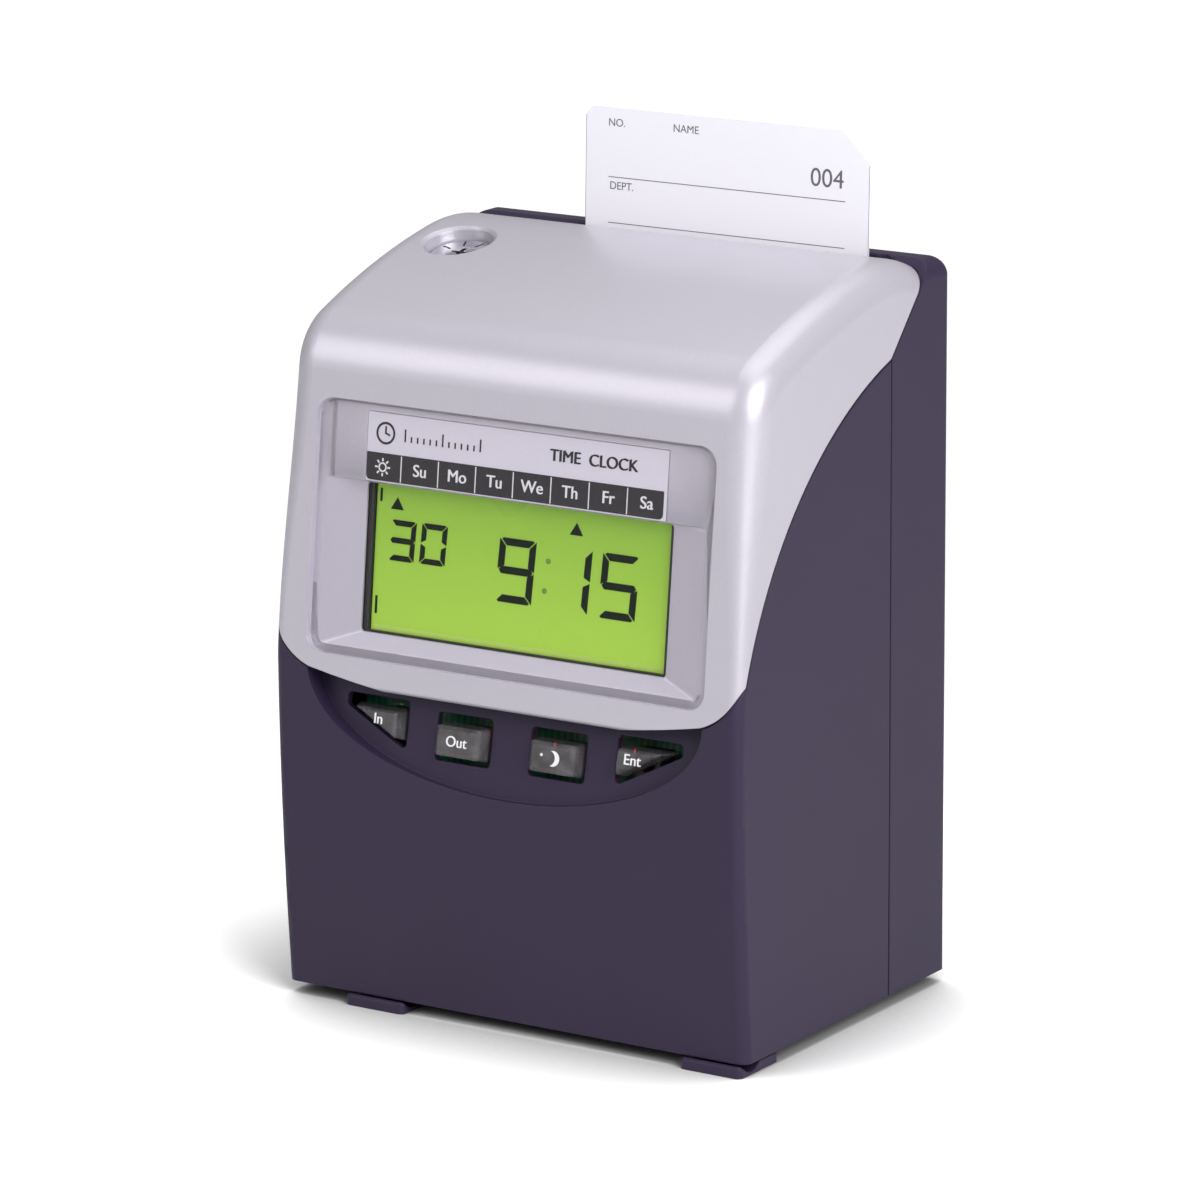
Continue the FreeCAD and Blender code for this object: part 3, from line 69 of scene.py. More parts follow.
def leaning_plane(node, degrees, facing="front"):
    """Matrix from millimetres on the node's front or top face to the row frame, and its size."""
    turn = Matrix.Rotation(-math.radians(degrees), 4, "X")
    corners = [turn.inverted() @ v.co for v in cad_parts[node].data.vertices]
    low = Vector([min(corner[axis] for corner in corners) for axis in range(3)])
    high = Vector([max(corner[axis] for corner in corners) for axis in range(3)])
    middle = (low + high) / 2
    if facing == "front":
        middle.y = low.y
        tip = Matrix.Identity(4)
    else:
        middle.z = high.z
        tip = Matrix.Rotation(-math.pi / 2, 4, "X")
    plane = Matrix.Translation(turn @ middle) @ turn @ tip @ Matrix.Scale(MM, 4)
    return plane, (high - low) / MM


lcd_plane, lcd_size = leaning_plane("lcd_glass", WINDOW_LEAN)
label_plane = leaning_plane("window_label", WINDOW_LEAN)[0]
card_plane, card_size = leaning_plane("time_card", CARD_LEAN)
lock_plane = leaning_plane("lock_plug", LOCK_LEAN, "top")[0]
print("display", [round(v, 1) for v in lcd_size], "card", [round(v, 1) for v in card_size])

# %% [markdown]
# ## Shader arithmetic
# A material could be wired by hand in the node editor, but a formula is easier to read and to
# change. A small class wraps a socket, so that plus, times and minus make Math nodes, and a
# second one holds the material with its few kinds of pattern. Every finish uses both.


# %% Formulas made of nodes
class Signal:
    """A shader socket that can be used in a formula."""

    def __init__(self, mat, socket):
        self.mat = mat
        self.socket = socket

    def _math(self, kind, a, b=None):
        return self.mat.node("ShaderNodeMath", {0: a, 1: b}, operation=kind)

    def __add__(self, other):
        return self._math("ADD", self, other)

    def __sub__(self, other):
        return self._math("SUBTRACT", self, other)

    def __mul__(self, other):
        return self._math("MULTIPLY", self, other)

    def __rsub__(self, other):
        return self._math("SUBTRACT", other, self)

    __radd__ = __add__
    __rmul__ = __mul__

    def above(self, level):
        return self._math("GREATER_THAN", self, level)

    def fade(self, low, high, to_low=0.0, to_high=1.0):
        inputs = {0: self, 1: low, 2: high, 3: to_low, 4: to_high}
        return self.mat.node("ShaderNodeMapRange", inputs)


class Finish:
    """One material: a Principled surface, with helpers that add nodes."""

    def __init__(self, name):
        self.data = bpy.data.materials.new(name)
        self.data.use_nodes = True
        self.tree = self.data.node_tree
        self.surface = self.tree.nodes["Principled BSDF"]
        self.coords = self.node("ShaderNodeTexCoord", {}, out="Object")

    def node(self, kind, inputs, out=0, **settings):
        made = self.tree.nodes.new(kind)
        for key, value in settings.items():
            setattr(made, key, value)
        for key, value in inputs.items():
            self.put(made.inputs[key], value)
        return Signal(self, made.outputs[out])

    def put(self, socket, value):
        if isinstance(value, Signal):
            self.tree.links.new(value.socket, socket)
        elif value is not None:
            socket.default_value = value

    def stretched(self, x, y, z):
        return self.node("ShaderNodeVectorMath", {0: self.coords, 1: (x, y, z)},
                         operation="MULTIPLY")

    def noise(self, scale, detail=3.0, rough=0.55, at=None):
        inputs = {"Vector": at or self.coords, "Scale": scale, "Detail": detail,
                  "Roughness": rough}
        return self.node("ShaderNodeTexNoise", inputs)

    def cells(self, scale, out="Distance", shape="EUCLIDEAN"):
        return self.node("ShaderNodeTexVoronoi", {"Vector": self.coords, "Scale": scale},
                         out=out, distance=shape)

    def part_of(self, colour, channel=0):
        """One channel of a colour, such as the random value that a cell pattern gives."""
        return self.node("ShaderNodeSeparateColor", {0: colour}, out=channel)

    def blend(self, amount, a, b):
        made = self.tree.nodes.new("ShaderNodeMix")
        made.data_type = "RGBA"
        self.put(made.inputs[0], amount)
        self.put(made.inputs[6], a)
        self.put(made.inputs[7], b)
        return Signal(self, made.outputs[2])

    def rounded(self, radius):
        """Normal that shades sharp edges as if they were rounded."""
        return self.node("ShaderNodeBevel", {"Radius": radius}, samples=6)

    def bump(self, height, strength, distance, normal=None):
        inputs = {"Height": height, "Strength": strength, "Distance": distance,
                  "Normal": normal}
        return self.node("ShaderNodeBump", inputs)

    def mixed(self, amount, first, second):
        """Ends the material in a mix of two surfaces."""
        both = self.node("ShaderNodeMixShader", {0: amount, 1: first, 2: second})
        output = self.tree.nodes["Material Output"]
        self.tree.links.new(both.socket, output.inputs["Surface"])
        return self

    def own_surface(self):
        return Signal(self, self.surface.outputs[0])

    def set(self, **values):
        for key, value in values.items():
            self.put(self.surface.inputs[key.replace("_", " ")], value)
        return self


def grey(value, tint=(1.0, 1.0, 1.0)):
    """Linear colour of one brightness, tinted a little if asked."""
    return (value * tint[0], value * tint[1], value * tint[2], 1.0)


print("shader helpers ready")

# %% [markdown]
# ## Moulded plastics
# The covers are injection moulded ABS. The silver one is sprayed with a fine metallic paint,
# whose flakes are a tight cell pattern in both colour and roughness. The charcoal one keeps
# the fine spark-eroded grain of its mould and has a few pale dust specks. Scanned textures
# would show the same, but patterns made from the object's own coordinates need no seams and
# no files. Sharp edges are shaded as if rounded, so the meshes stay as they are.


# %% Silver, charcoal, black and pale plastic
def silver_paint():
    f = Finish("silver_paint")
    sparkle = f.part_of(f.cells(9000.0, out="Color"))
    cloud = f.noise(14.0, 4.0)
    dark, light = (0.49, 0.465, 0.535, 1), (0.62, 0.59, 0.665, 1)
    tone = f.blend(sparkle * 0.5 + cloud * 0.3, dark, light)
    orange_peel = f.noise(900.0, 2.0)
    normal = f.bump(orange_peel + sparkle * 0.4, 0.10, 0.00006, f.rounded(0.0005))
    return f.set(Base_Color=tone, Roughness=sparkle.fade(0, 1, 0.30, 0.42),
                 Metallic=sparkle.fade(0, 1, 0.15, 0.45), Coat_Weight=0.25,
                 Coat_Roughness=0.22, Normal=normal)


def charcoal_abs():
    f = Finish("charcoal_abs")
    grain = f.noise(3200.0, 2.0)
    cloud = f.noise(20.0, 3.0)
    dusty = f.noise(60.0, 2.0).fade(0.60, 0.68)
    specks = f.cells(420.0).fade(0.035, 0.05, 1.0, 0.0) * dusty
    tone = f.blend(cloud, (0.026, 0.0175, 0.046, 1), (0.034, 0.023, 0.056, 1))
    tone = f.blend(specks * 0.35, tone, (0.35, 0.33, 0.36, 1))
    normal = f.bump(grain, 0.22, 0.00008, f.rounded(0.0006))
    return f.set(Base_Color=tone, Roughness=grain.fade(0.2, 0.8, 0.36, 0.48),
                 Specular_IOR_Level=0.3, Normal=normal)


def black_abs():
    f = Finish("black_abs")
    level = 0.012
    grain = f.noise(2400.0, 3.0)
    tone = f.blend(f.noise(30.0), grey(level), grey(level * 1.7))
    return f.set(Base_Color=tone, Roughness=grain.fade(0.2, 0.8, 0.38, 0.55),
                 Normal=f.bump(grain, 0.2, 0.00005, f.rounded(0.0003)))


def pale_acetal():
    f = Finish("pale_acetal")
    cloud = f.noise(80.0, 3.0)
    tone = f.blend(cloud, (0.62, 0.61, 0.57, 1), (0.76, 0.75, 0.71, 1))
    normal = f.bump(f.noise(1500.0), 0.1, 0.00004, f.rounded(0.0002))
    return f.set(Base_Color=tone, Roughness=cloud.fade(0.2, 0.8, 0.35, 0.5),
                 Subsurface_Weight=0.1, Subsurface_Scale=0.002, Normal=normal)


print("plastics defined")

# %% [markdown]
# ## Clear pieces
# The window is a thin clear pane, and the keys are smoke-tinted and a little cloudy. Real
# refraction through such thin walls costs much light and shows little, so the surface is a
# mix: part of the light goes straight through and the rest meets a glossy surface. Faces seen
# from their inner side let everything through, or the pane would be counted twice.


# %% Window pane and smoked keys
PLASTIC_IOR = 1.45


def clear_pane(name, tint, gloss, haze):
    f = Finish(name)
    through = f.node("ShaderNodeBsdfTransparent", {"Color": tint})
    smear = f.noise(25.0, 4.0)
    f.set(Base_Color=f.blend(smear, grey(0.55), grey(0.62)),
          Roughness=smear.fade(0.3, 0.7, 0.05, 0.12), Normal=f.rounded(0.0004))
    edge = f.node("ShaderNodeFresnel", {"IOR": PLASTIC_IOR})
    inside = f.node("ShaderNodeNewGeometry", {}, out="Backfacing")
    amount = (edge * gloss + smear.fade(0.3, 0.8, haze * 0.6, haze)) * (1.0 - inside)
    return f.mixed(amount, through, f.own_surface())


def smoke_key(name="smoke_key", dark=0.15, light=0.28, solid=0.38):
    f = Finish(name)
    cloud = f.noise(260.0, 3.0)
    through = f.node("ShaderNodeBsdfTransparent", {"Color": (0.72, 0.70, 0.72, 1)})
    dark_tone, light_tone = grey(dark, (1.0, 0.93, 0.98)), grey(light, (1.0, 0.94, 1.0))
    f.set(Base_Color=f.blend(cloud, dark_tone, light_tone), Coat_Weight=0.6,
          Roughness=cloud.fade(0.3, 0.7, 0.08, 0.2), Normal=f.rounded(0.0005))
    inside = f.node("ShaderNodeNewGeometry", {}, out="Backfacing")
    amount = cloud.fade(0.3, 0.7, solid, solid + 0.17) * (1.0 - inside)
    return f.mixed(amount, through, f.own_surface())


print("clear pieces defined")

# %% [markdown]
# ## Metals
# Sheet parts are zinc plated, with long rolling marks and a faint spangle; shafts are ground
# steel with rings round their length; the lock is polished chrome, and its nut and the posts
# are turned brass. Rolling and grinding leave marks that run one way, so their noise is
# stretched, while polished and turned parts have an even one. A single roughness for each
# metal would be simpler, but then wide flat sheets look like plastic.


# %% Zinc, steel, chrome and brass
def rolled_zinc():
    f = Finish("rolled_zinc")
    streak = f.noise(60.0, 4.0, at=f.stretched(1.0, 14.0, 1.0))
    spangle = f.cells(160.0)
    tone = f.blend(streak * 0.6 + spangle * 0.5, (0.36, 0.37, 0.38, 1), (0.60, 0.61, 0.62, 1))
    return f.set(Base_Color=tone, Metallic=1.0, Roughness=streak.fade(0.3, 0.7, 0.28, 0.45),
                 Normal=f.bump(streak, 0.12, 0.0001, f.rounded(0.0002)))


def ground_steel(name="ground_steel", dark=0.42, light=0.60, rough=0.22):
    f = Finish(name)
    rings = f.noise(90.0, 3.0, at=f.stretched(60.0, 1.0, 1.0))
    tone = f.blend(rings, grey(dark), grey(light))
    return f.set(Base_Color=tone, Metallic=1.0,
                 Roughness=rings.fade(0.3, 0.7, rough, rough + 0.12),
                 Normal=f.bump(rings, 0.08, 0.00005, f.rounded(0.0002)))


def chrome():
    f = Finish("chrome")
    wear = f.noise(120.0, 5.0)
    tone = f.blend(wear, (0.62, 0.62, 0.64, 1), (0.80, 0.80, 0.82, 1))
    return f.set(Base_Color=tone, Metallic=1.0, Roughness=wear.fade(0.3, 0.8, 0.10, 0.22),
                 Normal=f.bump(f.noise(700.0), 0.05, 0.00004, f.rounded(0.0003)))


def turned_brass():
    f = Finish("turned_brass")
    marks = f.noise(220.0, 3.0)
    tone = f.blend(marks, (0.55, 0.38, 0.13, 1), (0.74, 0.55, 0.24, 1))
    return f.set(Base_Color=tone, Metallic=1.0, Roughness=marks.fade(0.2, 0.8, 0.22, 0.38),
                 Normal=f.bump(marks, 0.1, 0.00005, f.rounded(0.0002)))


print("metals defined")

# %% [markdown]
# ## Rubber, boards, wrapping and paper
# Rollers and belt are dull rubber. Boards have a green solder mask over straight tracks: their
# shine runs in even waves, and a square cell pattern chooses which way the tracks run in each
# patch. Chips, battery wrapping, the inked band and the card's fibres are small patterns too.
# A drawn layout would be truer, but the boards are seen only past the keys, and inside when
# the covers are open.


# %% Rubber, boards, lamps, wrapping, ribbon and card
TRACK_WAVES = 3300.0
WEAVE_SCALE = 900.0


def dull_rubber():
    f = Finish("dull_rubber")
    skin = f.noise(1200.0, 4.0)
    tone = f.blend(f.noise(50.0), grey(0.012), grey(0.030))
    return f.set(Base_Color=tone, Roughness=skin.fade(0.2, 0.8, 0.7, 0.9),
                 Normal=f.bump(skin, 0.3, 0.0001))


def circuit_board():
    f = Finish("circuit_board")
    x, y, z = (f.node("ShaderNodeSeparateXYZ", {0: f.coords}, out=axis) for axis in "XYZ")
    across = f.node("ShaderNodeMath", {0: x * TRACK_WAVES}, operation="SINE")
    along = f.node("ShaderNodeMath", {0: (y + z) * TRACK_WAVES}, operation="SINE")
    turned = f.part_of(f.cells(70.0, out="Color", shape="CHEBYCHEV")).above(0.5)
    track = (across * turned + along * (1.0 - turned)).fade(-0.1, 0.2)
    pads = f.cells(420.0).fade(0.10, 0.13, 1.0, 0.0)
    tone = f.blend(track, (0.014, 0.13, 0.065, 1), (0.020, 0.21, 0.10, 1))
    tone = f.blend(pads, tone, (0.45, 0.42, 0.30, 1))
    return f.set(Base_Color=tone, Roughness=pads.fade(0, 1, 0.32, 0.22), Metallic=pads * 0.7,
                 Normal=f.bump(track + pads * 0.5, 0.2, 0.00006))


def moulded_chip():
    f = Finish("moulded_chip")
    grain = f.noise(2600.0, 2.0)
    shade = f.part_of(f.cells(45.0, out="Color"), 1)
    tone = f.blend(shade, grey(0.010), (0.035, 0.04, 0.055, 1))
    return f.set(Base_Color=tone, Roughness=grain.fade(0.2, 0.8, 0.4, 0.6),
                 Normal=f.bump(grain, 0.2, 0.00004))


def red_lamp():
    f = Finish("red_lamp")
    glow = f.noise(900.0, 2.0)
    tone = f.blend(glow, (0.45, 0.010, 0.008, 1), (0.80, 0.040, 0.020, 1))
    return f.set(Base_Color=tone, Roughness=0.12, Emission_Color=tone, Emission_Strength=2.5)


def wrapped_cell():
    f = Finish("wrapped_cell")
    creases = f.noise(40.0, 5.0, at=f.stretched(1.0, 0.2, 1.0))
    tone = f.blend(creases, (0.012, 0.07, 0.24, 1), (0.02, 0.11, 0.34, 1))
    return f.set(Base_Color=tone, Roughness=creases.fade(0.2, 0.8, 0.18, 0.35),
                 Normal=f.bump(creases, 0.35, 0.0003, f.rounded(0.0003)))


def inked_band():
    f = Finish("inked_band")
    threads = [f.node("ShaderNodeTexWave", {"Vector": f.coords, "Scale": WEAVE_SCALE},
                      out="Fac", bands_direction=axis) for axis in "ZX"]
    weave = threads[0] * threads[1]
    tone = f.blend(weave, (0.008, 0.006, 0.020, 1), (0.03, 0.02, 0.06, 1))
    return f.set(Base_Color=tone, Roughness=0.75, Normal=f.bump(weave, 0.4, 0.0001))


def card_stock():
    f = Finish("card_stock")
    fibres = f.noise(320.0, 6.0, 0.7, at=f.stretched(1.0, 1.0, 3.0))
    blotch = f.noise(12.0, 3.0)
    light, dark = (0.90, 0.885, 0.945, 1), (0.84, 0.825, 0.885, 1)
    tone = f.blend(fibres * 0.4 + blotch * 0.3, light, dark)
    return f.set(Base_Color=tone, Roughness=fibres.fade(0.2, 0.8, 0.72, 0.85),
                 Normal=f.bump(fibres, 0.12, 0.00006))


print("other finishes defined")

# %% [markdown]
# ## Display and print
# The liquid crystal sits on a yellow-green light guide that glows a little, most at its foot,
# where the light comes in. A lamp behind the glass could do this, but a faint glow of the
# glass itself is steadier. Printed inks are thin, slightly uneven layers.


# %% Display, its digits and printing inks
def lit_crystal():
    f = Finish("lit_crystal")
    foot, top = (corner[2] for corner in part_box("lcd_glass"))
    rise = f.node("ShaderNodeSeparateXYZ", {0: f.coords}, out="Z").fade(foot, top)
    cloud = f.noise(18.0, 2.0)
    foot_tone, top_tone = (0.32, 0.53, 0.045, 1), (0.21, 0.40, 0.035, 1)
    tone = f.blend(rise + cloud * 0.3 - 0.15, foot_tone, top_tone)
    return f.set(Base_Color=tone, Roughness=cloud.fade(0.2, 0.8, 0.25, 0.32),
                 Emission_Color=tone, Emission_Strength=0.26)


def dark_crystal():
    f = Finish("dark_crystal")
    dots = f.noise(1800.0, 2.0)
    tone = f.blend(dots, (0.003, 0.008, 0.004, 1), (0.006, 0.014, 0.007, 1))
    return f.set(Base_Color=tone, Roughness=dots.fade(0, 1, 0.3, 0.45),
                 Specular_IOR_Level=0.1)


def ink(name, dark, light, rough=0.5):
    f = Finish(name)
    mottle = f.noise(1600.0, 4.0)
    return f.set(Base_Color=f.blend(mottle, dark, light),
                 Roughness=mottle.fade(0, 1, rough, rough + 0.2))


print("display finishes defined")

# %% [markdown]
# ## Dressing the engineering parts
# Each node of the model takes one finish, chosen by what the real part is made of. A table of
# nodes would do as well, but a call for each material keeps the finish and its parts together.
# The nodes' own meshes are left alone.


# %% One finish for each node
def dress(finish, *names):
    for name in names:
        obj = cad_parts[name]
        obj.data.materials.clear()
        obj.data.materials.append(finish.data)
    return finish


dress(silver_paint(), "top_cover")
dress(charcoal_abs(), "front_cover", "rear_case", "front_feet")
dress(black_abs(), "chassis", "lcd_bezel", "key_switches", "ribbon_cartridge", "print_head",
      "dc_jack", "buzzer")
dress(pale_acetal(), "card_stop", "carriage", "drive_pulley", "idler_pulley", "ribbon_knob",
      "feed_gear")
dress(rolled_zinc(), "lock_cam", "front_bracket", "lock_catch", "card_guide_rear",
      "card_guide_front", "printer_frames", "rear_brace", "drive_plate")
dress(ground_steel(), "hinge_pins", "case_screws", "guide_rods", "feed_shaft")
dress(ground_steel("motor_can", 0.30, 0.42, 0.30), "carriage_motor", "feed_motor")
dress(chrome(), "lock_barrel", "lock_plug")
brass = dress(turned_brass(), "lock_nut", "board_posts", "board_pillars", "feed_pinion")
dress(dull_rubber(), "rear_feet", "platen", "feed_rollers", "pinch_rollers", "carriage_belt")
dress(circuit_board(), "display_board", "keypad_board", "main_board")
dress(moulded_chip(), "board_parts")
dress(red_lamp(), "key_leds")
dress(wrapped_cell(), "battery_pack")
dress(inked_band(), "ribbon_band")
dress(card_stock(), "time_card")
dress(clear_pane("clear_pane", (0.985, 0.98, 0.99, 1), 0.45, 0.004), "display_window")
dress(lit_crystal(), "lcd_glass", "lcd_backlight")
smoke = dress(smoke_key(), "key_in", "key_out", "key_night", "key_enter")
panel_film = ink("panel_film", (0.60, 0.575, 0.65, 1), (0.68, 0.65, 0.72, 1), 0.35)
dress(panel_film, "window_label")
print("dressed", len(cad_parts), "nodes")

# %% [markdown]
# ## Small flat pieces
# Printed and moulded details are thin plates. They could be painted as textures, but plates
# stay sharp at any distance and need no unwrapping. An outline in millimetres is extruded
# towards the viewer, then moved into its working plane and fixed to the body that carries it.
# Depths are in millimetres too, negative in front of the surface.

# %% Plates from outlines
FILM_FRONT, FILM_BACK = -0.05, 0.01


def finished(name, mesh, finish, body, plane):
    mesh.transform(plane)
    mesh.materials.clear()
    mesh.materials.append(finish.data)
    obj = bpy.data.objects.new(name, mesh)
    bpy.context.scene.collection.objects.link(obj)
    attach(obj, body)
    return obj


def add_plate(edit, outline, front, back):
    """Plate between two depths; the outline runs anticlockwise as the viewer sees it."""
    rings = [[edit.verts.new((x, y, z)) for x, z in outline] for y in (front, back)]
    edit.faces.new(rings[0])
    edit.faces.new(rings[1][::-1])
    count = len(outline)
    for i in range(count):
        j = (i + 1) % count
        edit.faces.new((rings[0][j], rings[0][i], rings[1][i], rings[1][j]))


def plates(name, outlines, finish, body, plane, front=FILM_FRONT, back=FILM_BACK):
    edit = bmesh.new()
    for outline in outlines:
        add_plate(edit, outline, front, back)
    mesh = bpy.data.meshes.new(name)
    edit.to_mesh(mesh)
    edit.free()
    finished(name, mesh, finish, body, plane)


def bar(x0, x1, z0, z1):
    return [(x0, z0), (x1, z0), (x1, z1), (x0, z1)]


def round_bar(x0, x1, z0, z1, low_r, high_r=0.05, steps=6):
    """Bar with rounded lower corners and nearly sharp upper ones."""
    corners = [(x1, z0, low_r, -90), (x1, z1, high_r, 0),
               (x0, z1, high_r, 90), (x0, z0, low_r, 180)]
    points = []
    for x, z, r, start in corners:
        cx = x - r if x == x1 else x + r
        cz = z + r if z == z0 else z - r
        for i in range(steps + 1):
            a = math.radians(start + 90 * i / steps)
            points.append((cx + r * math.cos(a), cz + r * math.sin(a)))
    return points


print("plate helpers ready")

# %% [markdown]
# ## Lettering
# Words are made from Blender's own typeface, turned into meshes of the same small depth as a
# plate. Bold print would need a heavier typeface; thickening the outline instead makes blobs
# in narrow letters, so a heavy word is simply printed twice, a little apart.

# %% Words as thin meshes
CAPITAL_TO_SIZE = 1.38
SECOND_PRINT_BACK = 0.006
SECOND_PRINT_RISE = 0.3


def lettering(name, texts, finish, body, plane, front=-0.07, depth=0.05):
    """Texts are (words, x, z, height, weight); a weight prints them twice, that far apart."""
    edit = bmesh.new()
    for words, x, z, height, weight in texts:
        curve = bpy.data.curves.new(name, "FONT")
        curve.body = words
        curve.size = height * CAPITAL_TO_SIZE
        curve.extrude = depth / 2
        curve.align_x = "CENTER"
        curve.align_y = "CENTER"
        holder = bpy.data.objects.new(name, curve)
        mesh = bpy.data.meshes.new_from_object(holder)
        upright = Matrix.Rotation(math.pi / 2, 4, "X")
        mesh.transform(Matrix.Translation((x, front + depth / 2, z)) @ upright)
        edit.from_mesh(mesh)
        if weight:
            second = (weight, SECOND_PRINT_BACK, SECOND_PRINT_RISE * weight)
            mesh.transform(Matrix.Translation(second))
            edit.from_mesh(mesh)
        bpy.data.objects.remove(holder)
        bpy.data.curves.remove(curve)
        bpy.data.meshes.remove(mesh)
    mesh = bpy.data.meshes.new(name)
    edit.to_mesh(mesh)
    edit.free()
    finished(name, mesh, finish, body, plane)


print("lettering ready")

# %% [markdown]
# ## Digits
# A segment digit is seven bars whose ends are cut at an angle, so that neighbours meet along
# a mitre with a hairline between them. A segment typeface would give the same signs, but
# seven outlines worked out from a width, a height and a stroke follow any display. The
# crystal darkens the bars that make up the number.

# %% Segment digits
SEGMENTS = {"0": "abcdef", "1": "bc", "3": "abcdg", "5": "acdfg", "9": "abcfgd"}
TIP_CUT = 0.22
HAIRLINE = 0.10
DIGIT_SLANT = 0.05


def segment(kind, width, height, stroke, gap):
    """One bar with mitred ends, in a digit box whose lower left corner is the origin."""
    half = stroke / 2
    mid = height / 2
    level = {"a": height - half, "g": mid, "d": half}
    if kind in level:
        z = level[kind]
        x0, x1 = gap, width - gap
        if kind == "g":
            return [(x0 + half, z - half), (x1 - half, z - half), (x1 - gap, z),
                    (x1 - half, z + half), (x0 + half, z + half), (x0 + gap, z)]
        up = 1 if kind == "a" else -1
        outer, inner, blunt = z + up * half, z - up * half, TIP_CUT * stroke
        points = [(x0 + 2 * blunt, outer), (x0 + blunt, outer - up * blunt),
                  (x0 + stroke, inner), (x1 - stroke, inner),
                  (x1 - blunt, outer - up * blunt), (x1 - 2 * blunt, outer)]
        return points if kind == "a" else points[::-1]
    upper = kind in "bf"
    z0, z1 = (mid + gap, height - gap) if upper else (gap, mid - gap)
    tip_low, tip_high = (half, stroke) if upper else (stroke, half)
    points = [(0, z0), (stroke, z0 + tip_low), (stroke, z1 - tip_high), (0, z1)]
    if kind in "bc":
        points = [(width - x, z) for x, z in points][::-1]
    return points


def digit(number, x, z, width, height, stroke):
    bars = []
    for kind in SEGMENTS[number]:
        shape = segment(kind, width, height, stroke, HAIRLINE * stroke)
        bars.append([(x + px + pz * DIGIT_SLANT, z + pz) for px, pz in shape])
    return bars


def circle(x, z, radius, count=20):
    turns = [2 * math.pi * i / count for i in range(count)]
    return [(x + radius * math.cos(a), z + radius * math.sin(a)) for a in turns]


print("digit helpers ready")

# %% [markdown]
# ## What the display shows
# The date stands at the upper left in small digits and the time in large ones, with a colon
# that is just going out. Two arrows point at the weekday band, and bars darken the left edge.
# Heights are measured from the display line, which lies a little over the glass's middle.

# %% Date, time, arrows and edges of the display
DISPLAY_LINE = 7.0
DATE_STROKE, TIME_STROKE = 1.5, 1.95
ARROW_HALF_WIDTH, ARROW_HEIGHT = 2.0, 3.2

# For each digit: its left edge, foot, width, height and stroke.
shown = []
for number, x, z, width, height, stroke in (
        ("3", -40.2, -7.5, 7.9, 10.5, DATE_STROKE), ("0", -30.6, -7.3, 7.8, 10.5, DATE_STROKE),
        ("9", -7.2, -13.9, 11.0, 16.4, TIME_STROKE), ("1", 9.6, -14.2, 10.9, 16.5, TIME_STROKE),
        ("5", 23.6, -14.2, 11.0, 16.5, TIME_STROKE)):
    shown += digit(number, x, z + DISPLAY_LINE, width, height, stroke)
arrows = []
for x, z in ((-38.0, 5.6), (16.2, 5.5)):
    foot = z + DISPLAY_LINE
    arrows.append([(x - ARROW_HALF_WIDTH, foot), (x + ARROW_HALF_WIDTH, foot),
                   (x, foot + ARROW_HEIGHT)])
# For each bar at the edge: its left, right, foot and top.
edge_bars = [bar(x0, x1, DISPLAY_LINE + z0, DISPLAY_LINE + z1) for x0, x1, z0, z1 in (
    (-46.3, -44.3, -27.4, 13.4), (-43.4, -42.7, 7.2, 10.6), (-43.4, -42.7, -21.6, -17.0))]
crystal_depths = {"front": -0.06, "back": 0.02}
plates("lcd_digits", shown + arrows + edge_bars, dark_crystal(), "case", lcd_plane,
       **crystal_depths)
faint = ink("faint_crystal", (0.13, 0.22, 0.03, 1), (0.16, 0.27, 0.04, 1))
colon = [circle(x, z + DISPLAY_LINE, 0.75) for x, z in ((8.3, -2.0), (7.6, -9.6))]
plates("lcd_colon", colon, faint, "case", lcd_plane, **crystal_depths)
rim_ink = ink("lcd_edge_strip", (0.42, 0.62, 0.10, 1), (0.52, 0.74, 0.14, 1))
rim = [bar(-43.6, 43.6, DISPLAY_LINE - 25.4, DISPLAY_LINE - 24.4)]
plates("lcd_edge", rim, rim_ink, "case", lcd_plane, **crystal_depths)
print("digits:", len(shown), "bars")

# %% [markdown]
# ## Weekday band
# A black printed band runs over the display with eight cells: a sun for the day shift, then
# the days. Its separators could be seven plates, but one short bar repeated by a node group
# needs only a count, a pitch and a size, and the connectors' pins below use it again.


# %% Node group that repeats a bar
def row_group():
    """Geometry nodes: a bar repeated along X."""
    group = bpy.data.node_groups.new("bar_row", "GeometryNodeTree")
    face = group.interface
    face.new_socket("Geometry", in_out="OUTPUT", socket_type="NodeSocketGeometry")
    for name, kind in (("Count", "NodeSocketInt"), ("Pitch", "NodeSocketFloat"),
                       ("Size", "NodeSocketVector"), ("Finish", "NodeSocketMaterial")):
        face.new_socket(name, in_out="INPUT", socket_type=kind)
    nodes, links = group.nodes, group.links
    given = nodes.new("NodeGroupInput")
    cube = nodes.new("GeometryNodeMeshCube")
    line = nodes.new("GeometryNodeMeshLine")
    step = nodes.new("ShaderNodeCombineXYZ")
    copies = nodes.new("GeometryNodeInstanceOnPoints")
    real = nodes.new("GeometryNodeRealizeInstances")
    paint = nodes.new("GeometryNodeSetMaterial")
    out = nodes.new("NodeGroupOutput")
    links.new(given.outputs["Size"], cube.inputs["Size"])
    links.new(given.outputs["Count"], line.inputs["Count"])
    links.new(given.outputs["Pitch"], step.inputs["X"])
    links.new(step.outputs[0], line.inputs["Offset"])
    links.new(line.outputs["Mesh"], copies.inputs["Points"])
    links.new(cube.outputs["Mesh"], copies.inputs["Instance"])
    links.new(copies.outputs["Instances"], real.inputs["Geometry"])
    links.new(real.outputs["Geometry"], paint.inputs["Geometry"])
    links.new(given.outputs["Finish"], paint.inputs["Material"])
    links.new(paint.outputs["Geometry"], out.inputs["Geometry"])
    return group


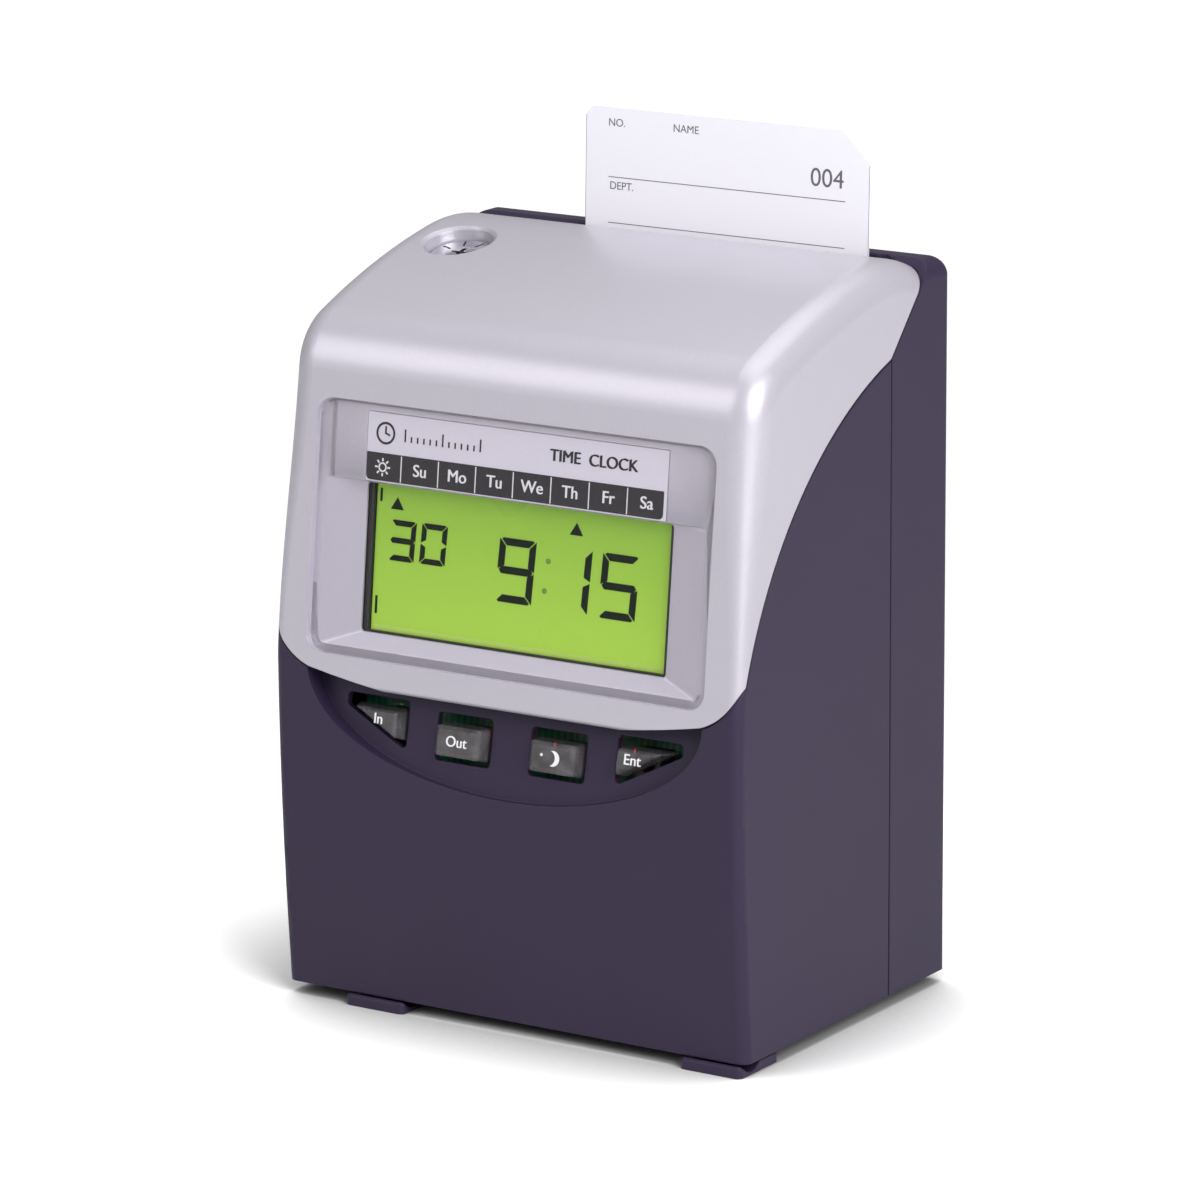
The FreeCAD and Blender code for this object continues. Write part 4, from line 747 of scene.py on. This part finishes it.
def repeated(name, group, values, finish, body, plane):
    """Runs a node group on an empty mesh and keeps the result as a finished piece."""
    holder = bpy.data.objects.new(name, bpy.data.meshes.new(name))
    bpy.context.scene.collection.objects.link(holder)
    modifier = holder.modifiers.new("repeat", "NODES")
    modifier.node_group = group
    values = dict(values, Finish=finish.data)
    for item in group.interface.items_tree:
        if item.in_out == "INPUT":
            modifier[item.identifier] = values[item.name]
    holder.update_tag()
    seen = holder.evaluated_get(bpy.context.evaluated_depsgraph_get())
    mesh = bpy.data.meshes.new_from_object(seen)
    bpy.data.objects.remove(holder)
    finished(name, mesh, finish, body, plane)


bar_row = row_group()
print("node group", bar_row.name, "with", len(bar_row.nodes), "nodes")

# %% Weekday band
PANEL_MIDDLE = 21.5
CELL = 11.3
BAND_LEFT = -45.6
BAND_FOOT, BAND_TOP = 12.9 - PANEL_MIDDLE, 20.1 - PANEL_MIDDLE
BAND_LINE = (BAND_FOOT + BAND_TOP) / 2
DAY_HEIGHT = 3.2

white_ink = ink("white_ink", (0.62, 0.61, 0.64, 1), (0.74, 0.73, 0.76, 1))
black_ink = ink("black_ink", (0.010, 0.008, 0.010, 1), (0.020, 0.016, 0.020, 1), 0.5)
base = round_bar(BAND_LEFT + 0.7, BAND_LEFT + 8 * CELL - 0.7, BAND_FOOT + 0.1, BAND_TOP, 1.3)
plates("weekday_band", [base], black_ink, "cover", label_plane)
first_line = Matrix.Translation((BAND_LEFT + CELL, -0.09, BAND_LINE))
repeated("band_separators", bar_row, {"Count": 7, "Pitch": CELL, "Size": (0.28, 0.06, 6.6)},
         white_ink, "cover", label_plane @ first_line)
days = [(day, BAND_LEFT + CELL * (i + 1.5), BAND_LINE, DAY_HEIGHT, 0.16)
        for i, day in enumerate(("Su", "Mo", "Tu", "We", "Th", "Fr", "Sa"))]
lettering("weekday_print", days, white_ink, "cover", label_plane, -0.12)
print("weekday band with", len(days), "days")

# %% [markdown]
# ## Sun and clock signs
# The first cell has a sun with eight rays. Above the band, where makers print a name, this
# copy carries only a plain clock face, a row of hour ticks and the words that say what the
# machine is. All three signs are rings and spokes, so two small functions draw them.


# %% Sun, clock face, ticks and title
def spoke(x, z, inner, outer, width, degrees):
    """Bar that points away from a middle, between two radii."""
    a = math.radians(degrees)
    along = (math.cos(a), math.sin(a))
    across = (-along[1] * width / 2, along[0] * width / 2)
    near = (x + along[0] * inner, z + along[1] * inner)
    far = (x + along[0] * outer, z + along[1] * outer)
    return [(near[0] - across[0], near[1] - across[1]), (far[0] - across[0], far[1] - across[1]),
            (far[0] + across[0], far[1] + across[1]), (near[0] + across[0], near[1] + across[1])]


def ring(x, z, inner, outer, parts=24):
    """Ring in short pieces, because a plate has no holes."""
    pieces = []
    for i in range(parts):
        a0, a1 = (2 * math.pi * (i + k) / parts for k in (0, 1))
        pieces.append([(x + inner * math.cos(a0), z + inner * math.sin(a0)),
                       (x + outer * math.cos(a0), z + outer * math.sin(a0)),
                       (x + outer * math.cos(a1), z + outer * math.sin(a1)),
                       (x + inner * math.cos(a1), z + inner * math.sin(a1))])
    return pieces


sun_x = BAND_LEFT + CELL * 0.5
sun = ring(sun_x, BAND_LINE, 0.85, 1.25)
sun += [spoke(sun_x, BAND_LINE, 1.5, 2.3, 0.45, 45 * i) for i in range(8)]
plates("sun_sign", sun, white_ink, "cover", label_plane, -0.12, -0.05)
sign_x, sign_z = -39.5, 25.2 - PANEL_MIDDLE
clock = ring(sign_x, sign_z, 2.3, 2.9)
clock += [spoke(sign_x, sign_z, -0.2, 1.8, 0.5, 90), spoke(sign_x, sign_z, -0.2, 1.4, 0.5, -20)]
for i in range(13):
    tick = 1.5 if i % 6 else 3.2
    clock.append(spoke(sign_x + 6 + i * 1.9, sign_z - 1.6, 0, tick, 0.45, 90))
plates("clock_sign", clock, black_ink, "cover", label_plane)
lettering("panel_title", [("TIME  CLOCK", 23.0, sign_z, 3.1, 0.3)], black_ink, "cover",
          label_plane, -0.06)
print("signs drawn")

# %% [markdown]
# ## Keys and their legends
# The caps are clear mouldings with a wide bevel, through which the green board and its red
# lamps shine. Their bevels and sides take a lighter copy of the smoke finish, a painted
# highlight. A bevel modifier on the key would round all its edges alike, so each visual cap
# is lofted over the key's own outline instead, and takes its place. Only the cap is drawn:
# the stem behind it is left out. The legends are printed in white; the moon is a crescent of
# two arcs with different centres, and has a small star.

# %% Bevelled clear caps
KEY_LEAN = 10.9
DRAFT = 0.6
WIDE_BEVEL, NARROW_BEVEL = 1.15, 0.65
CAP_DEPTH = 6.0


def crescent(x, z, radius, shift, count=14):
    outer = [math.radians(-110 + 220 * i / count) for i in range(count + 1)]
    points = [(x + radius * math.cos(a), z + radius * math.sin(a)) for a in outer]
    top = points[-1]
    inner_r = math.hypot(top[0] - (x - shift), top[1] - z)
    spread = math.atan2(top[1] - z, top[0] - (x - shift))
    inner = [spread - 2 * spread * i / count for i in range(1, count)]
    return points + [(x - shift + inner_r * math.cos(a), z + inner_r * math.sin(a)) for a in inner]


def pushed(points, amount):
    """Convex outline grown outwards by amount, its corners in the same order."""
    made = []
    for i, here in enumerate(points):
        here = Vector(here)
        before = (here - Vector(points[i - 1])).normalized()
        after = (Vector(points[(i + 1) % len(points)]) - here).normalized()
        out_a, out_b = Vector((before.y, -before.x)), Vector((after.y, -after.x))
        made.append(here + (out_a + out_b) * (amount / (1 + out_a.dot(out_b))))
    return made


def softened(points, radius, steps=5):
    """Outline with every corner turned into a small curve."""
    made = []
    for i, here in enumerate(points):
        beside = [Vector(points[k % len(points)]) for k in (i - 1, i + 1)]
        ends = [here + (other - here).normalized() * radius for other in beside]
        for n in range(steps + 1):
            t = n / steps
            made.append(ends[0] * (1 - t) ** 2 + here * (2 * t * (1 - t)) + ends[1] * t ** 2)
    return made


def clear_cap(name, node, corners, plane):
    """Bevelled cap with a face and drafted sides; the three-cornered ones have less bevel."""
    edit = bmesh.new()
    bevel = WIDE_BEVEL if len(corners) == 4 else NARROW_BEVEL
    rings = []
    for depth, grow, radius in ((0.0, -bevel, 0.7), (1.0, 0.0, 1.0), (CAP_DEPTH, DRAFT, 1.2)):
        outline = softened(pushed(corners, grow), radius)
        rings.append([edit.verts.new((p.x, depth, p.y)) for p in outline])
    edit.faces.new(rings[0])
    edit.faces.new(rings[-1][::-1])
    # Bevel and side faces take the second material, the lighter copy that paints a highlight on
    # them.
    for front, back in zip(rings, rings[1:]):
        for i in range(len(front)):
            j = (i + 1) % len(front)
            edit.faces.new((front[j], front[i], back[i], back[j])).material_index = 1
    mesh = bpy.data.meshes.new(name)
    edit.to_mesh(mesh)
    edit.free()
    obj = finished(name, mesh, smoke, node, plane)
    mesh.materials.append(cap_bevel_highlight.data)
    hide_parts(node)


# A lighter copy of the smoke finish for the bevels and sides: a painted highlight along the caps'
# edges.
cap_bevel_highlight = smoke_key("clear_cap_painted_highlight", 0.38, 0.62, 0.28)
print("cap helpers ready")

# %% Four keys with their legends
LEGEND_HEIGHT = 2.8

legend_ink = ink("legend_ink", (0.80, 0.79, 0.81, 1), (0.90, 0.89, 0.91, 1), 0.3)
legends = {"key_in": ("In", 1.4, 1.0), "key_out": ("Out", 0.0, 0.0),
           "key_enter": ("Ent", -1.6, 0.9), "key_night": ("", 0.0, 0.0)}
for node, (words, x, z) in legends.items():
    key_plane, size = leaning_plane(node, KEY_LEAN)
    half_x, half_z = size.x / 2 - DRAFT, size.z / 2 - DRAFT
    corners = [(-half_x, -half_z), (half_x, -half_z), (half_x, half_z), (-half_x, half_z)]
    if node == "key_in":
        corners.pop(0)
    if node == "key_enter":
        corners.pop(1)
    clear_cap("cap_" + node, node, corners, key_plane)
    if words:
        lettering("legend_" + node, [(words, x, z, LEGEND_HEIGHT, 0.12)], legend_ink, node,
                  key_plane, -0.05)
    else:
        moon_and_star = [crescent(0.8, 0.0, 2.0, 1.3), circle(-2.6, 0.6, 0.4, 10)]
        plates("legend_" + node, moon_and_star, legend_ink, node, key_plane)
print("caps and legends on", len(legends), "keys")

# %% [markdown]
# ## Lock face
# The plug has a narrow double-sided keyway. Round it the chrome head is stamped with short
# slots, which read as dark dashes in the bright metal. Cutting them would change the model's
# own parts for a depth that can't be seen, so they are dark films: painted shade in the slots
# and in the keyway. The keyway turns with the plug, and the slots stay with the cover.

# %% Keyway and slots
SLOT_INNER, SLOT_OUTER, SLOT_WIDTH = 4.6, 7.6, 0.55
HEAD_OVER_PLUG = 0.2

# Dark films for the keyway and the stamped slots: painted shade in these recesses, not ink.
lock_painted_shade = ink("lock_shadow", (0.010, 0.010, 0.012, 1), (0.022, 0.021, 0.024, 1), 0.6)
plates("lock_keyway", [bar(-2.6, 2.6, -0.35, 0.35)], lock_painted_shade, "lock", lock_plane, -0.03, 0.02)
slots = [spoke(0, 0, SLOT_INNER, SLOT_OUTER, SLOT_WIDTH, angle) for angle in (22, 68, 112, 158)]
head_face = lock_plane @ Matrix.Translation((0, HEAD_OVER_PLUG, 0))
plates("lock_slots", slots, lock_painted_shade, "cover", head_face, -0.03, 0.02)
print("lock face drawn")

# %% [markdown]
# ## Card print
# The upper end of the card has fields for a number, a name and a department. The ruled
# lines, the edge lines and the letters are thin layers of grey ink, drawn as plates so that
# they travel with the card. Heights are measured from the foot of the printed fields.

# %% Rules and field names
CARD_HALF = 93.0
FIELDS_FOOT = CARD_HALF - 33.0
PRINT_MIDDLE = -9.9
RULE_HALF = 0.11
FIELD_HEIGHT, NUMBER_HEIGHT = 2.1, 4.9

card_ink = ink("card_ink", (0.10, 0.09, 0.11, 1), (0.17, 0.16, 0.18, 1), 0.7)
rule_left, rule_right = -25.9 + PRINT_MIDDLE, 45.7 + PRINT_MIDDLE
rules = [bar(rule_left, rule_right, z + FIELDS_FOOT - RULE_HALF, z + FIELDS_FOOT + RULE_HALF)
         for z in (14.9, 2.9)]
rules += [bar(42.75, 42.87, FIELDS_FOOT - 5.0, CARD_HALF - 8.3),
          bar(-42.87, -42.75, FIELDS_FOOT - 5.0, CARD_HALF - 2.3)]
plates("card_rules", rules, card_ink, "card", card_plane, -0.03, 0.01)
fields = [(words, x + PRINT_MIDDLE, z + FIELDS_FOOT, height, 0.0) for words, x, z, height in (
    ("NO.", -23.5, 29.1, FIELD_HEIGHT), ("NAME", -2.4, 29.2, FIELD_HEIGHT),
    ("DEPT.", -21.8, 12.6, FIELD_HEIGHT), ("004", 40.2, 20.2, NUMBER_HEIGHT))]
lettering("card_print", fields, card_ink, "card", card_plane, -0.035, 0.03)
print("card printed")

# %% [markdown]
# ## Connector pins
# The same node group makes the pin rows of the connectors on the main board, six brass pins
# for each. They are placed from the board's own box, so they follow it if it moves.

# %% Pins on the main board
CONNECTORS = 3
PIN_ROW = {"Count": 6, "Pitch": 1.9, "Size": (0.5, 1.6, 1.2)}

low, high = (Vector(corner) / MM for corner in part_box("main_board"))
for index in range(CONNECTORS):
    corner = Matrix.Translation((low.x + 15.0 + 16.0 * index, high.y - 7.4, high.z + 0.6))
    repeated("pins_%d" % index, bar_row, PIN_ROW, brass, "case", Matrix.Scale(MM, 4) @ corner)
print("pins on", CONNECTORS, "connectors")

# %% [markdown]
# ## Floor and light
# The machine stands on a white floor that keeps only its soft contact shadow. The floor could
# be plain white, but then its far part would look grey. So the camera sees a matt floor near
# the object, darkened where the sky is hidden, which fades to clean white further out, while
# all other light meets plain matt white. Large neutral lamps stand at the right, at the front
# left and above, as in a small product studio.

# %% Lamps
LAMP_AIM = (0, 0, 0.1)


def area_lamp(name, place, size, watts):
    data = bpy.data.lights.new(name, "AREA")
    data.shape = "RECTANGLE"
    data.size, data.size_y = size
    data.energy = watts
    lamp = bpy.data.objects.new(name, data)
    lamp.location = place
    towards = Vector(LAMP_AIM) - Vector(place)
    lamp.rotation_euler = towards.to_track_quat("-Z", "Y").to_euler()
    bpy.context.scene.collection.objects.link(lamp)


area_lamp("side_lamp", (1.1, -0.5, 0.75), (0.9, 0.9), 17)
area_lamp("front_lamp", (-0.9, -1.3, 1.0), (1.0, 1.0), 8.0)
area_lamp("top_lamp", (0, 0.2, 1.5), (1.4, 1.4), 9.5)
print("three lamps")

# %% Floor
FLOOR_HALF = 6
SHADOW_REACH = 0.07
WHITE_FROM, WHITE_TO = 0.10, 0.34


def studio_floor():
    """Matt floor that the camera sees as clean white, with the shadow kept near the object."""
    f = Finish("studio_floor")
    f.set(Base_Color=f.blend(f.noise(3.0), grey(0.78), grey(0.82)), Roughness=0.9,
          Specular_IOR_Level=0.0)
    open_sky = f.node("ShaderNodeAmbientOcclusion", {"Distance": SHADOW_REACH}, out="AO",
                      samples=16)
    tone = f.blend(open_sky.fade(0.35, 1.0), grey(0.35), grey(1.75))
    bright = f.node("ShaderNodeBsdfDiffuse", {"Color": tone})
    white = f.node("ShaderNodeEmission", {"Color": grey(1.0), "Strength": 1.05})
    distance = f.node("ShaderNodeVectorMath", {0: f.coords}, out="Value", operation="LENGTH")
    clean = distance.fade(WHITE_FROM, WHITE_TO)
    seen = f.node("ShaderNodeMixShader", {0: clean, 1: bright, 2: white})
    camera_ray = f.node("ShaderNodeLightPath", {}, out="Is Camera Ray")
    return f.mixed(camera_ray, f.own_surface(), seen)


floor_mesh = bpy.data.meshes.new("floor")
square = [(x * FLOOR_HALF, y * FLOOR_HALF, 0) for x, y in ((-1, -1), (1, -1), (1, 1), (-1, 1))]
floor_mesh.from_pydata(square, [], [(0, 1, 2, 3)])
floor = bpy.data.objects.new("floor", floor_mesh)
bpy.context.scene.collection.objects.link(floor)
floor_mesh.materials.append(studio_floor().data)
print("floor of", 2 * FLOOR_HALF, "metres")

# %% [markdown]
# ## Room
# A dim white room fills the shadows and shows in the chrome. The camera itself sees full
# white behind the object, so the room's light and its colour to the eye are two backgrounds,
# and the kind of ray chooses between them.

# %% Room light
ROOM_LIGHT = 0.30

world = bpy.data.worlds.new("studio")
bpy.context.scene.world = world
world.use_nodes = True
world_nodes = world.node_tree.nodes
background = world_nodes["Background"]
background.inputs["Color"].default_value = (1, 1, 1, 1)
background.inputs["Strength"].default_value = ROOM_LIGHT
seen_by_camera = world_nodes.new("ShaderNodeBackground")
seen_by_camera.inputs["Strength"].default_value = 1.0
switch = world_nodes.new("ShaderNodeMixShader")
rays = world_nodes.new("ShaderNodeLightPath")
world.node_tree.links.new(rays.outputs["Is Camera Ray"], switch.inputs[0])
world.node_tree.links.new(background.outputs[0], switch.inputs[1])
world.node_tree.links.new(seen_by_camera.outputs[0], switch.inputs[2])
world.node_tree.links.new(switch.outputs[0], world_nodes["World Output"].inputs["Surface"])
print("room lit at", ROOM_LIGHT)

# %% [markdown]
# ## Camera
# The camera looks down at the front corner from about 1.7 metres with a long lens, which keeps
# the upright edges nearly parallel. A short lens close by would show the same corner with
# strong perspective. It is rolled by a third of a degree, as a hand-set camera is.

# %% Camera
LENS, SENSOR = 194.8, 36.0
ROLL = -0.32

camera_data = bpy.data.cameras.new("camera")
camera_data.lens = LENS
camera_data.sensor_width = SENSOR
camera = bpy.data.objects.new("camera", camera_data)
place = Vector((0.8786, -1.3589, 0.5001))
aim = Vector((-0.00865, 0.0079, 0.1011))
turned = (aim - place).to_track_quat("-Z", "Y").to_matrix().to_4x4()
rolled = Matrix.Rotation(math.radians(ROLL), 4, "Z")
camera.matrix_world = Matrix.Translation(place) @ turned @ rolled
bpy.context.scene.collection.objects.link(camera)
bpy.context.scene.camera = camera
bpy.context.scene.view_settings.view_transform = "Standard"
print("camera", round((aim - place).length, 2), "metres away")
